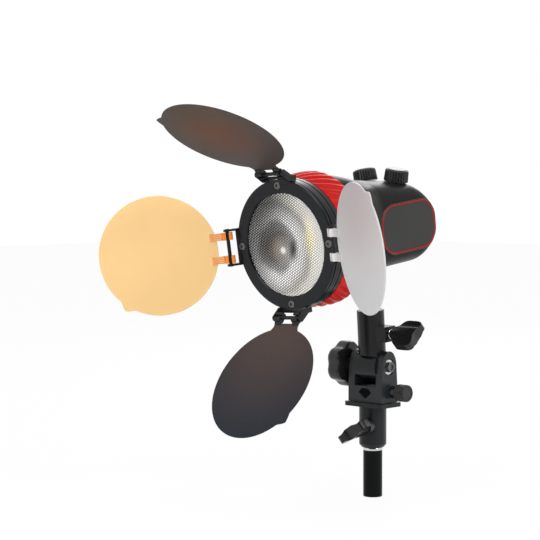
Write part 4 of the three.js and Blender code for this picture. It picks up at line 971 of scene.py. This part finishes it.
# %% Ring
RING_RADIUS = 61.2
SCREW_CIRCLE = 55.6
ring = mesh_object("barn_door_ring_skin", turned([
    (48.5, 1.0), (49.4, 0.1), (49.7, 0), (60.0, 0), (60.3, 0.1), (61.1, 0.9), (61.2, 1.2),
    (61.2, 3.1), (60.9, 3.3), (60.3, 3.4), (60.3, 4.4), (60.9, 4.5), (61.2, 4.7), (61.2, 8.2),
    (60.9, 8.5), (57.6, 8.5), (57.6, 3.2), (49.6, 3.2), (48.5, 2.1),
], 192))
combined(ring, [
    shifted(shifted(disc(4.0, -6, 1.3, "y", 48), dz=SCREW_CIRCLE), matrix=turn("Y", angle))
    for angle in LEAF_TURNS.values()
], "DIFFERENCE")
seated(ring, ring_frame, "barn_doors", "ring_paint", "barn_door_ring", sharp=25)

# %% A piece four times round the ring
def four_round(piece, matrix, finish_name, node):
    """Moves a piece's mesh to the top of the ring and sets a copy at every leaf."""
    piece.data.transform(matrix)
    apply_tree(piece, round_tree, finish_name, Count=len(LEAF_TURNS))
    seated(piece, ring_frame, "barn_doors", finish_name, *[f"{node}_{name}" for name in LEAF_TURNS])


# %% Screws
screw_head = mesh_object("ring_screws", turned([
    (0, -0.7), (2.9, -0.7), (3.4, -0.5), (3.7, 0), (3.7, 1.0), (0, 1.0),
], 48))
combined(screw_head, [slab(hexagon(1.8), -3, 0.4, "xz")], "DIFFERENCE")
four_round(screw_head, move(0, 0, SCREW_CIRCLE), "dark_steel", "ring_screw")

# %% Hinge brackets and pins
RING_TOP = RING_RADIUS - HINGE_RADIUS + 0.3
eye = [math.radians(bearing) for bearing in range(90, 205, 8)]
arm = [(3.6 * math.cos(bearing), 3.6 * math.sin(bearing)) for bearing in eye]
arm += [
    (7.7, RING_TOP - 4), (14.7, RING_TOP - 4), (14.7, RING_TOP + 2.2), (13.9, RING_TOP + 2.6),
    (9.5, RING_TOP + 2.8),
]
bracket = mesh_object("hinge_brackets", slab(arm, 15.6, 17.6, "yz"))
combined(bracket, [
    slab(arm, -17.6, -15.6, "yz"),
    block((-17.6, 7.7, RING_TOP - 4), (17.6, 14.7, RING_TOP + 2.6)),
], "UNION")
combined(bracket, [
    shifted(disc(61.5, -8, 30, "y", 192), dz=-HINGE_RADIUS), disc(2.1, -30, 30, "x", 32),
], "DIFFERENCE")
edged(bracket, 0.35, 2, 40)
hinge_place = move(0, -HINGE_FORWARD, HINGE_RADIUS)
four_round(bracket, hinge_place, "black_paint", "hinge_bracket")
pin = mesh_object("hinge_pins", turned([
    (0, -18.05), (2.2, -18.05), (2.5, -17.75), (1.8, -17.6), (1.8, 17.6), (2.5, 17.75),
    (2.2, 18.05), (0, 18.05),
], 32))
four_round(pin, hinge_place @ turn("Z", 90), "black_paint", "hinge_pin")
print("ring pieces done")

# %% [markdown]
# ## Leaves
#
# Each leaf is a thin disc with a small finger tab, and two clips that snap onto the hinge pin. The
# two dark metal leaves end in a neck of the same sheet, which the clips hold. The amber leaf and
# the milky white one are plastic, and two ribbed tongues hold them. The amber clips are thick, so
# the light that passes through them comes out a deeper orange.

# %% A leaf
LEAF = SimpleNamespace(
    radius=57.5, centre=68.05, offset=1.57, tab=52, tab_half=8.2, tab_reach=5.0,
)
CLIP = SimpleNamespace(half_width=3.6, root=7.4, middle=11.1)
METAL_SHEET, PLASTIC_SHEET = 1.0, 1.6
NECK = [
    (-22, 18), (-17.5, 14), (-15.2, 9.5), (-15.2, 5.6), (15.2, 5.6), (15.2, 9.5), (17.5, 14),
    (22, 18),
]
RIBS = SimpleNamespace(count=4, inset=0.7, width=0.5)


def leaf_outline():
    """A round outline with a soft tab that rises from it."""
    outline = []
    for i in range(360):
        bearing = math.radians(90 + LEAF.tab + i)
        across = abs(math.radians((i + 180) % 360 - 180)) * LEAF.radius
        rise = max(0, 1 - (across / LEAF.tab_half) ** 1.25) ** 1.15
        reach = LEAF.radius + LEAF.tab_reach * rise
        outline.append((reach * math.cos(bearing), LEAF.centre + reach * math.sin(bearing)))
    return outline


def leaf(name, thickness, slot_name, clip_finish):
    """A leaf with its two clips, and on a plastic leaf the tongues and their ribs."""
    low, high = -LEAF.offset - thickness / 2, -LEAF.offset + thickness / 2
    seat = leaf_frames[name], f"{name}_door"
    sheet = mesh_object(f"leaf_{name}_skin", slab(leaf_outline(), low, high))
    if thickness == METAL_SHEET:
        combined(sheet, [slab(NECK, low, high)], "UNION")
    edged(sheet, 0.25, 2, 45)
    seated(sheet, *seat, f"leaf_{name}", f"leaf_{name}", sharp=40, slot=slot_name)
    for side, part in ((1, "a"), (-1, "b")):
        middle = side * CLIP.middle
        near_side, far_side = middle - CLIP.half_width, middle + CLIP.half_width

        def across_leaf(outline):
            return slab(outline, near_side, far_side, "yz")

        root = [(3, low), (CLIP.root, low), (CLIP.root, high + 0.5), (3, low + 3.4)]
        body = across_leaf(rounded_outline(9.8, 6.4, 1.6, 6))
        clip = mesh_object(f"leaf_{name}_clip_{part}", body)
        combined(clip, [across_leaf(root)], "UNION")
        snap = block((-20, -1.5, 0), (20, 1.5, 6))
        combined(clip, [disc(2.15, -30, 30, "x", 48), snap], "DIFFERENCE")
        seated(edged(clip, 0.3, 2, 45), *seat, clip_finish, slot=slot_name)
        if thickness == METAL_SHEET:
            continue
        tongue = mesh_object(f"leaf_{name}_tongue_{part}", across_leaf([
            (5.6, low + 0.1), (17.6, low), (18.6, low + 0.6), (19, low + 1.4), (17.5, low + 2.6),
            (5.6, low + 3.0),
        ]))
        seated(edged(tongue, 0.3, 2, 45), *seat, f"leaf_{name}", slot=slot_name)
        start = near_side + RIBS.inset
        step = (2 * (CLIP.half_width - RIBS.inset) - RIBS.width) / (RIBS.count - 1)
        ribs = mesh_object(f"leaf_{name}_ribs_{part}", block(
            (start, 5.2, low + 2.3), (start + RIBS.width, 17.4, low + 3.3)))
        apply_tree(ribs, row_tree, clip_finish, Count=RIBS.count, Step_X=step * MM)
        seated(ribs, *seat, clip_finish, slot=slot_name)


# %% The leaves' finishes, and the four leaves
def leaf_spot(name, across, along):
    """A place on a leaf in the scene, measured in its own frame."""
    return leaf_frames[name] @ Vector((across * MM, along * MM, 0))


# The leaves' colour changes are partly painted reflection and painted shade: the top leaf goes from
# brown at its middle to grey at its rim, the bottom one from brown near its hinge to blue-black,
# and the white one is a darker grey near its upper edge.
finishes["leaf_top"] = toned(
    "leaf_top", (0.108, 0.042, 0.028), (0.056, 0.046, 0.044), leaf_spot("top", 0, 72), 62,
    0.42, 0.14, (0.3, 0.45), 0, 0.08)
finishes["leaf_bottom"] = toned(
    "leaf_bottom", (0.074, 0.052, 0.049), (0.012, 0.016, 0.025), leaf_spot("bottom", 0, 10), 125,
    0.42, 0.14, (0.3, 0.45), 0, 0.08)
above_right_leaf = leaf_spot("right", 0, LEAF.centre) + Vector((0, 0, LEAF.radius * MM))
finishes["leaf_right"] = toned(
    "leaf_right", (0.47, 0.415, 0.435), (0.61, 0.615, 0.625), above_right_leaf, 110,
    0.36, 0.3, (0.06, 3.0), 0, 0.04)
finishes["leaf_left"] = finishes["amber_plastic"]
leaf("top", METAL_SHEET, "leaf_paint", "black_paint")
leaf("right", PLASTIC_SHEET, "white_plastic", "clip_white")
leaf("bottom", METAL_SHEET, "leaf_paint", "black_paint")
leaf("left", PLASTIC_SHEET, "amber_plastic", "amber_clip")
print("leaves done")

# %% [markdown]
# ## Lens and reflector
#
# The lens is a flat glass whose face is a honeycomb of small bosses, which spreads the beam. The
# glass is cut from a honeycomb block by the lens's turned outline, so every boss is a real shape,
# and those at the rim end where the glass ends. Clear bosses in white surroundings turn an even
# grey, so the finish paints in the soft light that those of a real lamp gather from its bowl:
# painted bands of light and shade, a painted bright spot, a warm streak and a dim patch, and
# painted shade in the lines between the bosses. Behind the lens a bright bowl gathers the light of
# the yellow LED.

# %% Lens
LENS = SimpleNamespace(
    pitch=2.5, rise=0.6, front=1.6, radius=48.2, flange=51.3, flange_front=5.6,
    back=9.6,
)
SIX_SIDES = ((1, 0), (0, 1), (-1, 1), (-1, 0), (0, -1), (1, -1))
# The share of the painted light, against the clear glass, in the lens's finish.
PAINTED_LIGHT_SHARE = 0.72


def honeycomb_block(reach):
    """A block whose face is a honeycomb of low six-sided bosses, out to a reach from its middle."""
    pitch = LENS.pitch
    column, corner = pitch * math.sqrt(3) / 2, pitch / math.sqrt(3)
    foot, rear = LENS.front + LENS.rise, LENS.back + LENS.pitch
    span = math.ceil(2 * reach / pitch)

    def middle(cell):
        return cell[0] * column, (cell[1] + cell[0] / 2) * pitch

    rows = range(-span, span + 1)
    cells = {(i, j) for i in rows for j in rows if math.hypot(*middle((i, j))) < reach + pitch}
    points, faces = [], []
    for cell in sorted(cells):
        x, z = middle(cell)
        corners = [(x + dx, z + dz) for dx, dz in hexagon(corner)]
        tip = len(points)
        points.append((x, LENS.front, z))
        points += [(a, level, b) for level in (foot, rear) for a, b in corners]
        for k, (across, along) in enumerate(SIX_SIDES):
            here, following = tip + 1 + k, tip + 1 + (k + 1) % 6
            faces.append((tip, here, following))
            if (cell[0] + across, cell[1] + along) not in cells:
                faces.append((here, here + 6, following + 6, following))
        faces.append(tuple(range(tip + 7, tip + 13)))
    return points, faces


lens = mesh_object("lens_skin", honeycomb_block(LENS.flange))
combined(lens, [turned([
    (0, 0), (LENS.radius, 0), (LENS.radius, LENS.flange_front),
    (LENS.flange, LENS.flange_front), (LENS.flange, LENS.back), (0, LENS.back),
], 192)], "INTERSECT")
face_place = lens.data.attributes.new("face_place", "FLOAT_VECTOR", "POINT")
for vertex, value in zip(lens.data.vertices, face_place.data):
    raised = 1 - (vertex.co.y / MM - LENS.front) / LENS.rise
    value.vector = (vertex.co.x / MM, vertex.co.z / MM, max(0, raised))


def honeycomb_finish(material):
    """The lens's face: painted shade lines between the bosses and painted light that they gather.
    """
    nodes = Wiring(material.node_tree)
    put, sums, vectors, banded = nodes.put, nodes.sums, nodes.vectors, nodes.banded
    shader = material.node_tree.nodes["Principled BSDF"]
    here = put("ShaderNodeAttribute", {}, "Vector", attribute_name="face_place")
    across, upwards, height = (put("ShaderNodeSeparateXYZ", {0: here}, axis) for axis in "XYZ")
    place_on_face = put("ShaderNodeCombineXYZ", {"X": across, "Y": upwards})
    # Painted shade: dark in the low lines between the bosses, clear on their tops.
    painted_valley_shade = banded(height, [(0.17, (0.01, 0.01, 0.01)), (0.6, (1, 1, 1))])
    nodes.wire(shader, {"Base Color": painted_valley_shade})

    def patch(middle, width, height, stops):
        """An oval patch of light, in millimetres, with its tones from the middle out."""
        gap = vectors("SUBTRACT", place_on_face, (*middle, 0))
        gap = vectors("MULTIPLY", gap, (1 / width, 1 / height, 1))
        return banded(vectors("LENGTH", gap, (0, 0, 0), "Value"), stops)

    # The swirl: painted bands of light and shade round a spot beside the middle, each a little
    # out of round.
    wobble = put("ShaderNodeTexNoise", {"Vector": place_on_face, "Scale": 0.035, "Detail": 2.0})
    reach = vectors("DISTANCE", place_on_face, (-12, -2, 0), "Value")
    reach = sums("ADD", reach, sums("MULTIPLY", sums("SUBTRACT", wobble, 0.5), 14.0))
    painted_swirl = banded(sums("DIVIDE", reach, 64.0), [
        (0.05, (0.3, 0.26, 0.22)), (0.2, (0.24, 0.22, 0.2)), (0.34, (0.4, 0.4, 0.4)),
        (0.43, (0.95, 0.95, 0.95)), (0.53, (0.8, 0.8, 0.8)), (0.64, (0.5, 0.5, 0.48)),
        (0.76, (0.95, 0.93, 0.86)), (0.95, (1, 1, 1)),
    ])
    # The side light, which grows towards the lens's +X side.
    slant = sums("SUBTRACT", across, sums("MULTIPLY", upwards, 0.5))
    side_light = put("ShaderNodeMapRange", {
        "Value": slant, "From Min": -45.0, "From Max": 8.0, "To Min": 0.6, "To Max": 2.6,
    }, interpolation_type="SMOOTHSTEP")
    # Painted light and shade: a warm streak on the +X side, a dim patch of painted shade that is
    # taken away, and a painted bright spot near the middle.
    painted_warm_streak = patch((31, 7), 8, 23, [(0.15, (0.5, 0.4, 0.08)), (1.0, (0, 0, 0))])
    dim = patch((10, -6), 8, 13, [(0.2, (0.42, 0.42, 0.42)), (1.0, (0, 0, 0))])
    spot = patch((-4, -5.4), 16, 16, [
        (0.1, (1, 1, 1)), (0.28, (0.2, 0.19, 0.18)), (1.0, (0, 0, 0)),
    ])
    lit = vectors("ADD", painted_swirl, painted_warm_streak)
    lit = vectors("SUBTRACT", lit, dim)
    lit = vectors("MAXIMUM", lit, (0.04, 0.04, 0.04))
    lit = vectors("MULTIPLY", lit, painted_valley_shade)
    lit = put("ShaderNodeVectorMath", {0: lit, "Scale": side_light}, operation="SCALE")
    # The painted light is laid on as a diffuse colour and mixed with the clear glass.
    painted_bowl_light = put("ShaderNodeBsdfDiffuse", {"Color": vectors("ADD", lit, spot)})
    face = put("ShaderNodeMixShader", {"Fac": PAINTED_LIGHT_SHARE, 1: shader.outputs[0], 2: painted_bowl_light})
    nodes.wire(material.node_tree.nodes["Material Output"], {"Surface": face})


honeycomb_finish(finishes["lens_glass"])
seated(lens, lamp_frame, "lamp", "lens_glass", "lens")
print("lens", len(lens.data.polygons), "faces")

# %% Reflector
BOWL = SimpleNamespace(front=16.5, rear=53, mouth=47.4, throat=12.5, wall=1.3)


def bowl_side(offset, steps=28):
    """The bowl's curve from its mouth to its throat, moved out by an offset."""
    side = []
    for i in range(steps + 1):
        share = i / steps
        depth = mix(BOWL.front, BOWL.rear, 1 - (1 - share) ** 2)
        side.append((mix(BOWL.mouth, BOWL.throat, share) + offset, depth))
    return side


bowl_profile = bowl_side(0) + bowl_side(BOWL.wall)[::-1]
bowl = mesh_object("reflector_skin", turned(bowl_profile, 192))
carrier = turned([(44.5, 24.3), (51.65, 24.2), (51.65, 29.8), (44.5, 29.7)], 192)
pin_shape = shifted(disc(2.0, 48, 59.4, "z", 32), dy=27)
pins = [shifted(pin_shape, matrix=turn("Y", 45 + 120 * i)) for i in range(3)]
combined(bowl, [carrier] + pins, "UNION")
seated(bowl, lamp_frame, "reflector_carriage", "mirror_aluminium", "reflector")

# %% LED board with its chip
board_shape = slab(rounded_outline(44, 44, 8), 63.7, 65.7, "xz")
built_piece("led_board", board_shape, [], [], (0.2, 2), lamp_frame, "lamp", "aluminium")
chip = mesh_object("led_chip_skin", turned([
    (0, 62.3), (8.2, 62.3), (8.8, 62.6), (9, 63.2), (9, 63.75), (0, 63.75),
], 96))
seated(chip, lamp_frame, "lamp", "led_yellow")
# A glowing dome on the chip: a painted highlight on the LED.
dome = mesh_object("led_dome", turned([
    (3.2 * math.sin(math.pi * i / 24), 62.4 - 1.6 * math.cos(math.pi * i / 24)) for i in range(13)
] + [(0, 62.4)], 64))
seated(dome, lamp_frame, "lamp", "led_dome", slot="led_yellow")

# %% [markdown]
# ## What stays as packed
#
# The inner parts hardly show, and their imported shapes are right, so they keep their meshes and
# only get finishes.

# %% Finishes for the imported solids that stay
for node in frame["record"]["subparts"]:
    solid_piece = frame["nodes"][node["node"]]
    if solid_piece.hide_render:
        continue
    solid_piece.data.materials.clear()
    solid_piece.data.materials.append(finishes[node["material_slot"]])
    print("kept:", node["node"])

# %% [markdown]
# ## Floor, light and background
#
# The photograph is a plain studio shot on white. A pale floor, a white world that the camera sees
# at full strength, and soft lamps at a plain level give the same even light and soft highlights.
# One small bright lamp sets the glints on the gloss black pieces.

# %% Floor
FLOOR_SHARE = 0.94


def flat_sheet(name, half_width, half_height, level, material):
    corners = ((-1, -1), (1, -1), (1, 1), (-1, 1))
    points = [(x * half_width, y * half_height, level) for x, y in corners]
    mesh = bpy.data.meshes.new(name)
    mesh.from_pydata(points, [], [(0, 1, 2, 3)])
    mesh.materials.append(material)
    return linked(name, mesh)


def seen_itself(nodes):
    """1 where a surface is seen, also mirrored or through glass, and 0 where it gives light."""
    rays = nodes.tree.nodes.new("ShaderNodeLightPath").outputs
    seen = nodes.sums("MAXIMUM", rays["Is Camera Ray"], rays["Is Glossy Ray"])
    return nodes.sums("MAXIMUM", seen, rays["Is Transmission Ray"])


floor_finish = finish("floor_white", (0.95, 0.95, 0.95), 0.8)
nodes, made = Wiring(floor_finish.node_tree), floor_finish.node_tree.nodes
blend = nodes.put("ShaderNodeMixShader", {
    "Fac": nodes.sums("MULTIPLY", seen_itself(nodes), FLOOR_SHARE),
    1: made["Principled BSDF"].outputs[0], 2: nodes.put("ShaderNodeEmission", {"Strength": 1.0}),
})
nodes.wire(made["Material Output"], {"Surface": blend})
floor = flat_sheet("floor", 6, 6, 0, floor_finish)

# %% [markdown]
# ## The dark side of the studio
#
# In a white room alone, black paint and bright metal both turn grey. A photographer stands a black
# card opposite the light, which gives dark pieces their depth. This one stands behind the camera,
# and only glossy and clear finishes see it.

# %% The dark card
dark_side = flat_sheet("dark_side", 1.7, 1.2, 0.5, finish("dark_cloth", (0.02, 0.02, 0.022), 0.9))
dark_side.matrix_world = camera.matrix_world.copy()
dark_side.visible_diffuse = dark_side.visible_shadow = dark_side.visible_camera = False

# %% World and lamps
world = bpy.data.worlds.new("studio")
bpy.context.scene.world = world
world.use_nodes = True
nodes = Wiring(world.node_tree)
plain = world.node_tree.nodes["Background"]
nodes.wire(plain, {"Color": (1, 1, 1, 1), "Strength": 0.5})
blend = nodes.put("ShaderNodeMixShader", {
    "Fac": seen_itself(nodes), 1: plain.outputs[0],
    2: nodes.put("ShaderNodeBackground", {"Color": (1, 1, 1, 1), "Strength": 1.0}),
})
nodes.wire(world.node_tree.nodes["World Output"], {"Surface": blend})


def soft_lamp(name, where, target, size, power):
    data = bpy.data.lights.new(name, "AREA")
    data.shape, data.size, data.energy = "SQUARE", size, power
    light = linked(name, data)
    light.location, light.rotation_mode = where, "QUATERNION"
    light.rotation_quaternion = (Vector(target) - Vector(where)).to_track_quat("-Z", "Y")


soft_lamp("key_lamp", (0.2, -1.6, 1.5), (0, -0.1, 0.2), 1.1, 16)
soft_lamp("spark_lamp", (1.15, -0.35, 1.5), (0, 0, 0.25), 0.16, 4)
soft_lamp("side_lamp", (1.7, 0.1, 0.9), (0, 0, 0.2), 0.9, 11)
soft_lamp("back_lamp", (-0.9, 1.3, 1.2), (0, 0, 0.2), 0.9, 9)
bpy.context.scene.view_settings.view_transform = "Standard"
print("light is set")
